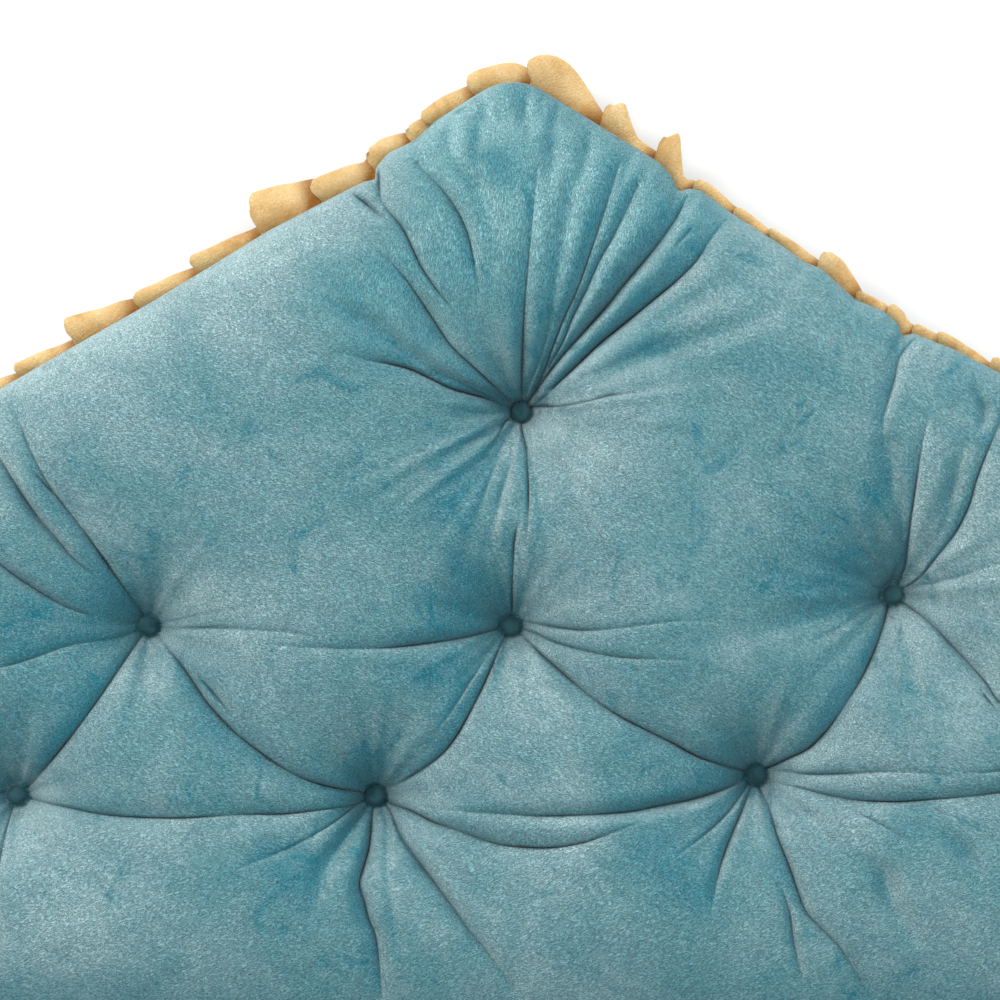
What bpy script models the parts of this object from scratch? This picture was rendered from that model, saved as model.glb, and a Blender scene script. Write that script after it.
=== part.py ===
# Headboard pillow lying on its back: a tufted, peaked cushion with a pleated
# ruffle in its seam and a covered button in each tuft.
# Sizes below are in millimetres. The part's frame has its origin in the middle
# of the flat back face, +X to the right, +Y toward the peak and +Z out of the front.

import math
from collections import namedtuple

import bmesh
import bpy
import numpy as np
from mathutils import Vector
from mathutils.geometry import delaunay_2d_cdt

MM = 0.001

# Outline of the cushion, seen from the front
WIDTH = 1500.0
HEIGHT = 900.0
SLOPE_ANGLE = math.radians(31.7)
PEAK_RADIUS = 54.0
SHOULDER_RADIUS = 60.0
BASE_RADIUS = 60.0
OUTLINE_STEP = 25.0
ARC_STEP = math.radians(15.0)
MARK_MARGIN = 10.0
MARK_GAP_SHARE = 0.4
SHARP_ANGLE = math.radians(50.0)

# Section through the filled cushion: the back is flat up to FLAT_INSET from the outline,
# and the points of BACK_ROLL are an inset and a height each
FLAT_INSET = 52.0
BACK_ROLL = [(24.0, 6.0), (2.0, 34.0)]
SEAM_HEIGHT = 50.0
SEAM_INSET = 8.0
EDGE_HEIGHT = 68.0
FRONT_INSET = 3.0
CROWN_HEIGHT = 150.0
EDGE_ROLL = 150.0
NOTCH_RUN = 22.0
ROLL_POWER = 2.2

# Tufts
WELL_DEPTH = 60.0
WELL_RADIUS = 30.0
SAG_DEPTH = 14.0
SAG_RADIUS = 105.0
SEAT_RADIUS = 13.0
SEAT_SIDES = 12
DEPTH_POWER = 4.0
FOLD_FADE = 45.0

# Front mesh: spacing of its points along the folds, round the tufts and between them
FOLD_STEP = 16.0
FLANK_STEP = 20.0
FLANK_SHARES = (0.38, 0.9)
FLANK_MARGIN = 20.0
FLANK_POWER = 1.7
EDGE_LOOPS = (14.0, 40.0)
FILL_STEP = 44.0
FILL_MARGIN = 52.0
FILL_GAP = 24.2
POINT_GAP = 8.0
TUFT_RINGS = [(22.0, 16), (33.0, 18), (47.0, 22), (65.0, 26)]

# Covered buttons
BUTTON_RADIUS = 10.0
BUTTON_SIDES = 12
BUTTON_SEAT_GAP = 0.3

# Ruffle
RUFFLE_INSET = 6.2
RUFFLE_THICKNESS = 5.0
RUFFLE_SWING = 13.0
RUFFLE_LEAN = 0.26
RUFFLE_STEP = 6.0
RUFFLE_ARC_STEP = math.radians(4.0)
PLEAT_PITCH = 61.0
PLEAT_TIP_PHASE = math.radians(53.0)
PLEAT_CREST_PHASE = math.radians(105.0)

Button = namedtuple("Button", "x y")
BUTTONS = {
    "peak": Button(8, 140),
    "left": Button(-343, -61),
    "middle": Button(-2, -61),
    "right": Button(357, -32),
    "low_far_left": Button(-466, -220),
    "low_left": Button(-129, -221),
    "low_right": Button(229, -202),
    "low_far_right": Button(569, -204),
}

# A fold runs from one button to another, or ends free where no button is named.
# start, middle and end are its depths there, and width is how far each flank reaches.
Fold = namedtuple("Fold", "first path last start middle end width")
FOLDS = [
    # from the peak button
    Fold("peak", [(13, 95), (12, 55), (3, 5)], "middle", 44, 34, 42, 40),
    Fold("peak", [(-50, 198), (-99, 266), (-135, 300)], None, 44, 26, 6, 42),
    Fold("peak", [(-79, 166), (-150, 190)], None, 44, 20, 4, 34),
    Fold("peak", [(9, 203), (14, 262), (20, 320)], None, 44, 14, 5, 22),
    Fold("peak", [(46, 223), (72, 288), (92, 350)], None, 42, 16, 8, 24),
    Fold("peak", [(50, 170), (121, 236), (176, 278), (209, 318)], None, 46, 36, 12, 36),
    Fold("peak", [(60, 147), (120, 160)], None, 42, 16, 3, 30),
    Fold("peak", [(-22, 120), (-48, 98)], None, 36, 14, 3, 26),
    # free folds near the top seam
    Fold(None, [(91, 252), (126, 296), (160, 336)], None, 10, 24, 14, 26),
    Fold(None, [(-127, 355), (-118, 325), (-88, 285), (-66, 240)], None, 14, 16, 4, 26),
    Fold(None, [(-86, 377), (-50, 321), (-36, 270)], None, 6, 11, 4, 30),
    Fold(None, [(76, 163), (156, 192), (222, 215), (288, 262)], None, 14, 11, 4, 34),
    # from the left button
    Fold("left", [(-390, 15), (-427, 65), (-455, 119), (-472, 165)], None, 44, 24, 5, 44),
    Fold(None, [(-479, 99), (-443, 43), (-408, 2)], None, 4, 12, 6, 26),
    Fold("left", [(-415, -79), (-482, -99), (-600, -110)], None, 38, 12, 4, 34),
    Fold("left", [(-384, -125), (-430, -182)], "low_far_left", 44, 30, 42, 42),
    Fold("left", [(-299, -122), (-227, -186)], "low_left", 44, 32, 44, 42),
    Fold("left", [(-289, -64), (-210, -66), (-133, -86), (-72, -76)], "middle", 40, 18, 40, 40),
    # from the middle button
    Fold("middle", [(-51, -151), (-80, -192)], "low_left", 44, 32, 44, 42),
    Fold("middle", [(40, -99), (124, -157)], "low_right", 44, 28, 44, 42),
    Fold("middle", [(64, -70), (165, -84), (288, -56)], "right", 38, 12, 38, 34),
    # from the right button
    Fold("right", [(323, -112), (290, -158)], "low_right", 44, 32, 44, 42),
    Fold("right", [(428, -97), (514, -169)], "low_far_right", 44, 28, 44, 42),
    Fold("right", [(364, 48), (346, 110), (366, 185)], None, 40, 10, 8, 32),
    Fold("right", [(416, 30), (434, 86), (462, 140)], None, 42, 20, 5, 36),
    # between the buttons of the lowest row, and out to the sides
    Fold("low_far_left", [(-390, -233), (-210, -240)], "low_left", 40, 24, 42, 42),
    Fold("low_left", [(-41, -253), (23, -263), (90, -254)], "low_right", 42, 28, 42, 44),
    Fold("low_right", [(330, -223), (458, -215)], "low_far_right", 42, 24, 40, 42),
    Fold("low_far_left", [(-560, -205), (-660, -190)], None, 38, 16, 4, 38),
    Fold("low_far_right", [(650, -190), (700, -182)], None, 38, 16, 4, 38),
    # down to the base
    Fold("low_far_left", [(-479, -291), (-476, -375)], None, 42, 20, 8, 34),
    Fold("low_left", [(-144, -299), (-134, -340), (-120, -400)], None, 42, 22, 8, 32),
    Fold("low_left", [(-81, -291), (-36, -345), (-8, -385)], None, 40, 16, 6, 32),
    Fold("low_left", [(-189, -255), (-252, -286)], None, 40, 12, 3, 30),
    Fold("low_right", [(243, -246), (267, -311), (296, -354), (322, -400)], None, 42, 22, 8, 32),
    Fold("low_right", [(202, -252), (178, -315)], None, 40, 16, 4, 30),
    Fold("low_far_right", [(585, -290), (580, -375)], None, 42, 20, 8, 34),
]

# Where the filling draws the edges in: soft sags of the whole edge, and notches where
# a fold reaches the front of it. at is a place along X, or along Y on the two sides.
Dent = namedtuple("Dent", "at depth reach")
SLOPE_SAGS = [Dent(-290, 5.5, 90), Dent(-170, 8, 70), Dent(250, 5, 60), Dent(350, 10, 55)]
SIDE_SAGS = [Dent(-230, 9, 110)]
BASE_SAGS = [Dent(-370, 8, 170), Dent(340, 8, 170)]
NOTCHES = [Dent(-137, 9, 12), Dent(163, 9, 11), Dent(375, 9, 12)]

# Pleats on the sloping edges: where each tip lies along X, and how far the ruffle stands
# out from the cushion there and at the pleat's heel
Pleat = namedtuple("Pleat", "x tip heel")
PLEATS = [
    Pleat(-471, 15, 5),
    Pleat(-424, 27, 11),
    Pleat(-360, 13, 5),
    Pleat(-302, 16, 7),
    Pleat(-252, 37, 20),
    Pleat(-193, 19, 10),
    Pleat(-138, 14, 8),
    Pleat(-86, 16, 11),
    Pleat(-48, 20, 10),
    Pleat(26, 35, 12),
    Pleat(88, 29, 12),
    Pleat(149, 36, 8),
    Pleat(187, 11, 6),
    Pleat(229, 10, 7),
    Pleat(285, 21, 5),
    Pleat(332, 10, 6),
    Pleat(380, 12, 6),
]
# Pleats further down the edges take turns with these tips and heels
PLAIN_PLEATS = [(13, 5), (18, 7), (11, 6)]

Finish = namedtuple("Finish", "colour roughness metallic")
FINISHES = {
    "teal_plush": Finish((0.115, 0.330, 0.400), 0.85, 0.0),
    "golden_plush": Finish((0.790, 0.500, 0.200), 0.85, 0.0),
    "button_cloth": Finish((0.030, 0.100, 0.125), 0.80, 0.0),
}


def make_material(name):
    finish = FINISHES[name]
    material = bpy.data.materials.new(name)
    material.use_nodes = True
    shader = material.node_tree.nodes["Principled BSDF"]
    shader.inputs["Base Color"].default_value = (*finish.colour, 1.0)
    shader.inputs["Roughness"].default_value = finish.roughness
    shader.inputs["Metallic"].default_value = finish.metallic
    material.diffuse_color = (*finish.colour, 1.0)
    return material


def add_object(name, mesh_maker, material):
    mesh = bpy.data.meshes.new(name)
    mesh_maker.to_mesh(mesh)
    mesh_maker.free()
    mesh.materials.append(material)
    mesh.shade_smooth()
    mesh.set_sharp_from_angle(angle=SHARP_ANGLE)
    obj = bpy.data.objects.new(name, mesh)
    bpy.context.scene.collection.objects.link(obj)
    return obj


# Outline: straight runs and round corners, walked counter-clockwise from the base's
# right end. Each sample keeps its corner centre, so that it can be inset exactly.
def outline_corners():
    half = WIDTH / 2
    base = -HEIGHT / 2
    lift = PEAK_RADIUS * (1 / math.cos(SLOPE_ANGLE) - 1)
    peak = HEIGHT / 2 + lift
    shoulder = peak - half * math.tan(SLOPE_ANGLE)
    return [
        (half, base, BASE_RADIUS),
        (half, shoulder, SHOULDER_RADIUS),
        (0.0, peak, PEAK_RADIUS),
        (-half, shoulder, SHOULDER_RADIUS),
        (-half, base, BASE_RADIUS),
    ]


def corner_arc(before, corner, after):
    point = np.array(corner[:2])
    to_before = np.array(before[:2]) - point
    to_after = np.array(after[:2]) - point
    to_before = to_before / np.linalg.norm(to_before)
    to_after = to_after / np.linalg.norm(to_after)
    half_angle = math.acos(float(np.dot(to_before, to_after))) / 2
    bisector = (to_before + to_after) / np.linalg.norm(to_before + to_after)
    centre = point + bisector * corner[2] / math.sin(half_angle)
    trim = corner[2] / math.tan(half_angle)
    start = point + to_before * trim - centre
    turn = math.pi - 2 * half_angle
    return centre, math.atan2(start[1], start[0]), turn


def outline_samples(step, arc_step, marks=()):
    corners = outline_corners()
    count = len(corners)
    arcs = [corner_arc(corners[i - 1], corners[i], corners[(i + 1) % count]) for i in range(count)]
    samples = []
    for index in range(count):
        centre, begin, turn = arcs[index]
        radius = corners[index][2]
        pieces = max(2, math.ceil(turn / arc_step))
        for piece in range(pieces + 1):
            angle = begin + turn * piece / pieces
            normal = np.array([math.cos(angle), math.sin(angle)])
            samples.append((centre + normal * radius, normal))
        end, normal = samples[-1]
        next_centre, next_begin, _ = arcs[(index + 1) % count]
        next_radius = corners[(index + 1) % count][2]
        finish = next_centre + next_radius * np.array([math.cos(next_begin), math.sin(next_begin)])
        length = float(np.linalg.norm(finish - end))
        along = (finish - end) / length
        regular = np.linspace(0, length, max(2, round(length / step)) + 1)[1:-1]
        marked = []
        if abs(along[0]) > 0.5 and normal[1] > 0.5:
            marked = [(mark - end[0]) / along[0] for mark in marks]
            marked = [value for value in marked if MARK_MARGIN < value < length - MARK_MARGIN]
        stops = [v for v in regular if all(abs(v - m) > step * MARK_GAP_SHARE for m in marked)] + marked
        for value in sorted(stops):
            samples.append((end + along * value, normal))
    return samples


def dents(table, at):
    return sum(d.depth * np.exp(-((at - d.at) / d.reach) ** 2) for d in table)


def edge_sag(place, normal):
    if normal[1] > 0.5:
        return dents(SLOPE_SAGS, place[0])
    if abs(normal[0]) > 0.9:
        return dents(SIDE_SAGS, place[1])
    if normal[1] < -0.9:
        return dents(BASE_SAGS, place[0])
    return 0.0


def ring(samples, inset, height, notched):
    points = []
    for place, normal in samples:
        depth = inset + edge_sag(place, normal) * (1 - inset / FLAT_INSET)
        if notched and normal[1] > 0.5:
            depth += dents(NOTCHES, place[0]) * math.exp(-inset / NOTCH_RUN)
        point = place - normal * depth
        points.append((point[0], point[1], height))
    return points


# Height of the front: the roll from the edge to the crown, less the wells and folds
def inset_from_outline(xy):
    half = WIDTH / 2
    peak = HEIGHT / 2 + PEAK_RADIUS * (1 / math.cos(SLOPE_ANGLE) - 1)
    sides = half - np.abs(xy[:, 0]) - dents(SIDE_SAGS, xy[:, 1])
    base = xy[:, 1] + HEIGHT / 2 - dents(BASE_SAGS, xy[:, 0])
    slopes = (peak - xy[:, 1]) * math.cos(SLOPE_ANGLE) - np.abs(xy[:, 0]) * math.sin(SLOPE_ANGLE)
    foot = xy[:, 0] + np.sign(xy[:, 0]) * slopes * math.sin(SLOPE_ANGLE)
    slopes = slopes - dents(SLOPE_SAGS, foot)
    return np.maximum(np.minimum(np.minimum(sides, base), slopes), 0.0)


def crown(inset):
    rest = 1 - np.clip(inset / EDGE_ROLL, 0, 1)
    return EDGE_HEIGHT + (CROWN_HEIGHT - EDGE_HEIGHT) * (1 - rest ** ROLL_POWER) ** (1 / ROLL_POWER)


def smooth_path(points, step):
    knots = [np.array(p, float) for p in points]
    knots = [2 * knots[0] - knots[1]] + knots + [2 * knots[-1] - knots[-2]]
    path = []
    for i in range(1, len(knots) - 2):
        a, b, c, d = knots[i - 1:i + 3]
        pieces = max(2, round(float(np.linalg.norm(c - b)) / step))
        for piece in range(pieces):
            t = piece / pieces
            path.append(0.5 * (2 * b + (c - a) * t + (2 * a - 5 * b + 4 * c - d) * t ** 2
                               + (3 * b - a - 3 * c + d) * t ** 3))
    path.append(knots[-2])
    return np.array(path)


def fold_path(fold, step):
    points = [tuple(p) for p in fold.path]
    if fold.first:
        points.insert(0, tuple(BUTTONS[fold.first]))
    if fold.last:
        points.append(tuple(BUTTONS[fold.last]))
    return smooth_path(points, step)


def distance_along(xy, path):
    best = np.full(len(xy), 1e9)
    where = np.zeros(len(xy))
    lengths = np.linalg.norm(np.diff(path, axis=0), axis=1)
    starts = np.concatenate([[0], np.cumsum(lengths)])
    for i, length in enumerate(lengths):
        run = (path[i + 1] - path[i]) / length
        t = np.clip((xy - path[i]) @ run, 0, length)
        gap = np.linalg.norm(xy - path[i] - t[:, None] * run, axis=1)
        closer = gap < best
        best = np.where(closer, gap, best)
        where = np.where(closer, starts[i] + t, where)
    return best, where / starts[-1]


def fold_depth(xy, fold):
    gap, along = distance_along(xy, fold_path(fold, FOLD_STEP))
    depth = np.interp(along, [0, 0.5, 1], [fold.start, fold.middle, fold.end])
    side = np.clip(1 - gap / fold.width, 0, 1)
    return depth * side ** FLANK_POWER


def front_height(xy):
    inset = inset_from_outline(xy)
    total = np.zeros(len(xy))
    sag = np.zeros(len(xy))
    for button in BUTTONS.values():
        reach = np.linalg.norm(xy - np.array([button.x, button.y]), axis=1)
        total += (WELL_DEPTH / (1 + (reach / WELL_RADIUS) ** 2)) ** DEPTH_POWER
        sag += SAG_DEPTH * np.exp(-(reach / SAG_RADIUS) ** 2)
    for fold in FOLDS:
        total += fold_depth(xy, fold) ** DEPTH_POWER
    fade = np.clip(inset / FOLD_FADE, 0, 1)
    return crown(inset) - (total ** (1 / DEPTH_POWER) + sag) * fade * (2 - fade)


def seat_height(button):
    return float(front_height(np.array([[button.x, button.y]], float))[0])


def button_seat(button):
    angles = np.arange(SEAT_SIDES) * 2 * math.pi / SEAT_SIDES
    return [(button.x + SEAT_RADIUS * math.cos(a), button.y + SEAT_RADIUS * math.sin(a)) for a in angles]


# Front mesh: the fold lines and the button seats are edges of the triangulation
class PointSet:
    def __init__(self):
        self.points = []
        self.edges = []

    def is_free(self, point, gap=POINT_GAP):
        gaps = np.linalg.norm(np.array(self.points) - np.array(point), axis=1)
        return float(gaps.min()) > gap

    def add_loose(self, point, gap=POINT_GAP):
        if self.is_free(point, gap):
            self.points.append((float(point[0]), float(point[1])))

    def add_chain(self, chain, closed):
        start = len(self.points)
        self.points.extend((float(x), float(y)) for x, y in chain)
        self.edges.extend((start + i, start + i + 1) for i in range(len(chain) - 1))
        if closed:
            self.edges.append((start + len(chain) - 1, start))

    def add_open_chain(self, chain):
        kept = []
        for point in chain:
            if self.is_free(point):
                kept.append(point)
            elif len(kept) > 1:
                break
            else:
                kept = []
        if len(kept) > 1:
            self.add_chain(kept, False)


def side_points(path, offset):
    run = np.gradient(path, axis=0)
    run = run / np.linalg.norm(run, axis=1)[:, None]
    return path + offset * np.column_stack([-run[:, 1], run[:, 0]])


def front_points(edge_ring, samples):
    cloud = PointSet()
    cloud.add_chain([p[:2] for p in edge_ring], True)
    for button in BUTTONS.values():
        cloud.add_chain(button_seat(button), True)
    for fold in FOLDS:
        cloud.add_open_chain(fold_path(fold, FOLD_STEP))
    for inset in EDGE_LOOPS:
        for point in ring(samples, inset, 0, True):
            cloud.add_loose(point[:2])
    for button in BUTTONS.values():
        for radius, count in TUFT_RINGS:
            for i in range(count):
                angle = 2 * math.pi * i / count
                cloud.add_loose((button.x + radius * math.cos(angle), button.y + radius * math.sin(angle)))
    for fold in FOLDS:
        path = fold_path(fold, FLANK_STEP)
        for share in FLANK_SHARES:
            for side in (-1, 1):
                for point in side_points(path, side * share * fold.width):
                    if inset_from_outline(point[None])[0] > FLANK_MARGIN:
                        cloud.add_loose(point)
    row = 0
    y = -HEIGHT / 2
    while y < HEIGHT / 2:
        x = -WIDTH / 2 + (row % 2) * FILL_STEP / 2
        while x < WIDTH / 2:
            if inset_from_outline(np.array([[x, y]]))[0] > FILL_MARGIN:
                cloud.add_loose((x, y), FILL_GAP)
            x += FILL_STEP
        y += FILL_STEP * math.sqrt(3) / 2
        row += 1
    return cloud


def add_strip(mesh_maker, lower, upper):
    count = len(lower)
    for i in range(count):
        j = (i + 1) % count
        mesh_maker.faces.new((lower[i], lower[j], upper[j], upper[i]))


def make_cushion(material):
    marks = [n.at + side * n.reach for n in NOTCHES for side in (-1, 0, 1)]
    samples = outline_samples(OUTLINE_STEP, ARC_STEP, marks)
    sections = [(FLAT_INSET, 0.0), *BACK_ROLL, (SEAM_INSET, SEAM_HEIGHT), (0.0, EDGE_HEIGHT)]
    mesh_maker = bmesh.new()
    rings = []
    for inset, height in sections:
        points = ring(samples, inset, height, height > SEAM_HEIGHT)
        rings.append([mesh_maker.verts.new(p) for p in points])
    for lower, upper in zip(rings, rings[1:]):
        add_strip(mesh_maker, lower, upper)
    mesh_maker.faces.new(list(reversed(rings[0])))

    front_edge = ring(samples, FRONT_INSET, 0, True)
    cloud = front_points(front_edge, samples)
    result = delaunay_2d_cdt([Vector(p) for p in cloud.points], cloud.edges, [], 1, 0.01)
    places = np.array([tuple(v) for v in result[0]])
    heights = front_height(places)
    for button in BUTTONS.values():
        near = np.linalg.norm(places - np.array([button.x, button.y]), axis=1) < SEAT_RADIUS + 0.1
        heights[near] = seat_height(button)
    front = [mesh_maker.verts.new((x, y, z)) for (x, y), z in zip(places, heights)]
    for face in result[2]:
        mesh_maker.faces.new([front[i] for i in face])
    origin = {}
    for index, sources in enumerate(result[3]):
        for source in sources:
            origin[source] = front[index]
    add_strip(mesh_maker, rings[-1], [origin[i] for i in range(len(samples))])
    bmesh.ops.recalc_face_normals(mesh_maker, faces=mesh_maker.faces)
    bmesh.ops.scale(mesh_maker, vec=(MM, MM, MM), verts=mesh_maker.verts)
    return add_object("cushion", mesh_maker, material)


# Covered button: a domed disc turned about its own axis
BUTTON_PROFILE = [(0.0, 0.0), (0.82, 0.0), (1.0, 1.8), (0.97, 3.8), (0.7, 6.4), (0.0, 7.8)]


def make_button(name, button, material):
    mesh_maker = bmesh.new()
    chain = [mesh_maker.verts.new((r * BUTTON_RADIUS, 0, z)) for r, z in BUTTON_PROFILE]
    edges = [mesh_maker.edges.new((a, b)) for a, b in zip(chain, chain[1:])]
    bmesh.ops.spin(mesh_maker, geom=chain + edges, cent=(0, 0, 0), axis=(0, 0, 1),
                   angle=2 * math.pi, steps=BUTTON_SIDES, use_merge=True)
    bmesh.ops.remove_doubles(mesh_maker, verts=mesh_maker.verts, dist=0.01)
    bmesh.ops.recalc_face_normals(mesh_maker, faces=mesh_maker.faces)
    place = (button.x, button.y, seat_height(button) + BUTTON_SEAT_GAP)
    bmesh.ops.translate(mesh_maker, vec=place, verts=mesh_maker.verts)
    bmesh.ops.scale(mesh_maker, vec=(MM, MM, MM), verts=mesh_maker.verts)
    return add_object(name, mesh_maker, material)


# Ruffle: a strip whose section swings in a leaning wave, so that each pleat lies over
# the one before it, with its root still and caught in the seam
RUFFLE_PHASES = [math.radians(a) for a in (53, 85, 130, 180, 230, 280, 320, 10)]
RUFFLE_SECTION = [(0.0, 0.5), (0.62, 0.7), (1.0, 0.4), (1.0, -0.4), (0.62, -0.7), (0.0, -0.5)]


def walk_outline():
    samples = outline_samples(RUFFLE_STEP, RUFFLE_ARC_STEP)
    places = np.array([s[0] for s in samples])
    normals = np.array([s[1] for s in samples])
    first = int(np.argmin(np.abs(places[:, 1] + HEIGHT / 2 - BASE_RADIUS) + (places[:, 0] > 0) * 1e6))
    order = np.roll(np.arange(len(samples)), -first)[::-1]
    places = places[order]
    normals = normals[order]
    last = int(np.argmin(np.abs(places[:, 1] + HEIGHT / 2 - BASE_RADIUS) + (places[:, 0] < 0) * 1e6))
    places = places[:last + 1]
    normals = normals[:last + 1]
    steps = np.linalg.norm(np.diff(places, axis=0), axis=1)
    return np.concatenate([[0], np.cumsum(steps)]), places, normals


# Each row: station of the tip along the walk, and how far tip and heel stand out
def pleat_rows(stations, places):
    top = places[:, 1] > -HEIGHT / 2 + 2 * BASE_RADIUS
    tips = [(float(np.interp(p.x, places[top, 0], stations[top])), p.tip, p.heel) for p in PLEATS]
    first, last = tips[0][0], tips[-1][0]
    before = round(first / PLEAT_PITCH)
    after = round((stations[-1] - last) / PLEAT_PITCH)
    lead = [((i + 0.4) * first / (before + 0.4), *PLAIN_PLEATS[i % 3]) for i in range(before)]
    tail = [(last + (i + 1) * (stations[-1] - last) / (after + 0.4), *PLAIN_PLEATS[i % 3]) for i in range(after)]
    return np.array(lead + tips + tail)


def make_ruffle(material):
    stations, places, normals = walk_outline()
    rows = pleat_rows(stations, places)
    sections = []
    for row, follower in zip(rows, rows[1:]):
        for phase in RUFFLE_PHASES:
            share = (phase - PLEAT_TIP_PHASE) % (2 * math.pi) / (2 * math.pi)
            station, tip, heel = row * (1 - share) + follower * share
            lift = 0.5 + 0.5 * math.cos(phase - PLEAT_CREST_PHASE)
            sections.append((station, phase, follower[0] - row[0], heel + (tip - heel) * lift))
    mesh_maker = bmesh.new()
    loops = []
    for station, phase, pitch, stand in sections:
        loop = []
        for out, half in RUFFLE_SECTION:
            lean = RUFFLE_LEAN * pitch * math.sqrt(out)
            swing = RUFFLE_SWING * out * min(1.0, pitch / PLEAT_PITCH)
            wave = math.sin(phase)
            slope = np.array([pitch / (2 * math.pi) - lean * math.cos(phase), swing * math.cos(phase)])
            slope = slope / np.linalg.norm(slope)
            shift = -lean * wave - slope[1] * half * RUFFLE_THICKNESS
            rise = swing * wave + slope[0] * half * RUFFLE_THICKNESS
            at = min(max(station + shift, 0.0), stations[-1])
            place = np.array([np.interp(at, stations, places[:, k]) for k in (0, 1)])
            normal = np.array([np.interp(at, stations, normals[:, k]) for k in (0, 1)])
            normal = normal / np.linalg.norm(normal)
            root = RUFFLE_INSET + edge_sag(place, normal) * (1 - SEAM_INSET / FLAT_INSET)
            point = place + normal * (out * (root + stand) - root)
            loop.append(mesh_maker.verts.new((point[0], point[1], SEAM_HEIGHT + rise)))
        loops.append(loop)
    for lower, upper in zip(loops, loops[1:]):
        add_strip(mesh_maker, lower, upper)
    mesh_maker.faces.new(loops[0])
    mesh_maker.faces.new(list(reversed(loops[-1])))
    bmesh.ops.recalc_face_normals(mesh_maker, faces=mesh_maker.faces)
    bmesh.ops.scale(mesh_maker, vec=(MM, MM, MM), verts=mesh_maker.verts)
    return add_object("ruffle", mesh_maker, material)


def clear_scene():
    for obj in list(bpy.data.objects):
        bpy.data.objects.remove(obj, do_unlink=True)


def main():
    clear_scene()
    teal = make_material("teal_plush")
    golden = make_material("golden_plush")
    covered = make_material("button_cloth")
    make_cushion(teal)
    make_ruffle(golden)
    for number, button in enumerate(BUTTONS.values(), start=1):
        make_button(f"button_{number}", button, covered)


main()
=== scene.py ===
import math
import time
from collections import namedtuple

import bmesh
import bpy
import numpy as np
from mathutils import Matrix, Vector, noise
from mathutils.geometry import delaunay_2d_cdt


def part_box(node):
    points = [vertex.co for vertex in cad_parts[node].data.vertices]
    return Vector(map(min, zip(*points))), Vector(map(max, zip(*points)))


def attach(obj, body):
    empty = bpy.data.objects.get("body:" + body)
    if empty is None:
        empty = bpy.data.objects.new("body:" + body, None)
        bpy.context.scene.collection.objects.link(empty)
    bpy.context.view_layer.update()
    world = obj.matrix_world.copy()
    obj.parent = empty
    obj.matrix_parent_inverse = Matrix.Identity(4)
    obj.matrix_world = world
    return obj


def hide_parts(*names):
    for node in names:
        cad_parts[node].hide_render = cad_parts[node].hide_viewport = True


mm = 0.001
began = time.time()


def report(stage):
    print(f"{stage}: {time.time() - began:.1f} s")


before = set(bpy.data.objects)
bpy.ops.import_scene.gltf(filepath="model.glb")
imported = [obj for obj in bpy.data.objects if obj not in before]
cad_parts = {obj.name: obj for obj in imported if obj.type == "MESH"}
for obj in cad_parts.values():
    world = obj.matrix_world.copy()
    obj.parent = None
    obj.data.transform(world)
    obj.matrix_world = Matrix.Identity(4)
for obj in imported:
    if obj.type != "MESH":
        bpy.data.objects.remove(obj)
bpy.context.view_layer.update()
cushionLow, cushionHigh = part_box("cushion")
report("frame loaded")

# The part of the front that the picture shows
picture = {"x": -12.2, "y": 57.1, "width": 940.0, "height": 68.0, "lens": 170.0, "sensor": 36.0}

cushionForm = {
    "halfWidth": cushionHigh.x / mm,
    "base": cushionLow.y / mm,
    "top": cushionHigh.y / mm,
    "slope": math.radians(31.7),
    "peakRadius": 54.0,
    "cornerRadius": 60.0,
    "crown": 150.0,
    "rim": 68.0,
    "roll": 150.0,
    "rollPower": 2.2,
    "drawRun": 30.0,       # how far in from the edge a notch or sag fades
    "sideSag": (-230, 9, 110),     # where the sides sag in, how deep and over what reach
    "baseSags": [(-370, 8, 170), (340, 8, 170)],
    "ridgeRound": 80.0,    # rounds the ridges where the rolls of two edges meet
    "foldFade": 40.0,      # the folds grow in over this run from the edge
    "power": 4.0,          # how the depths of folds that meet are blended
    "fineStep": 3.6,
    "wideStep": 12.0,
}

# Section from the flat back round the edge: inset and height
edgeSection = [
    (52.0, 0.0), (44.0, 0.7), (35.0, 2.6), (26.0, 5.8), (17.0, 11.0), (9.5, 18.5), (4.5, 27.0),
    (2.2, 34.0), (2.6, 40.0), (5.4, 45.5), (8.6, 50.0), (5.6, 53.5), (2.6, 58.0), (0.7, 63.0),
    (0.0, 68.0), (0.3, 74.0), (1.2, 80.5),
]

# How far the filling draws the sloping edges in, read along X: soft sags and sharp notches
drawLeft = [
    (-760, 0), (-482, 0), (-420, 2), (-353, 5), (-290, 6), (-233, 6), (-200, 9), (-165, 12), (-148, 14),
    (-139, 18), (-134, 9), (-119, 3), (-96, 6), (-75, 1), (-49, 0), (0, 0),
]
drawRight = [
    (0, 0), (105, 0), (138, 0), (152, 5), (162, 14), (170, 5), (178, 2), (208, 5), (257, 6), (277, 8),
    (292, 5), (329, 13), (352, 8), (367, 11), (375, 19), (382, 11), (392, 9), (416, 4), (458, 0), (760, 0),
]

Point = namedtuple("Point", "x y")
buttonPlaces = {
    "peak": Point(8, 140),
    "left": Point(-343, -61),
    "middle": Point(-2, -61),
    "right": Point(357, -32),
    "lowFarLeft": Point(-466, -220),
    "lowLeft": Point(-129, -221),
    "lowRight": Point(229, -202),
    "lowFarRight": Point(569, -204),
}

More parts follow.
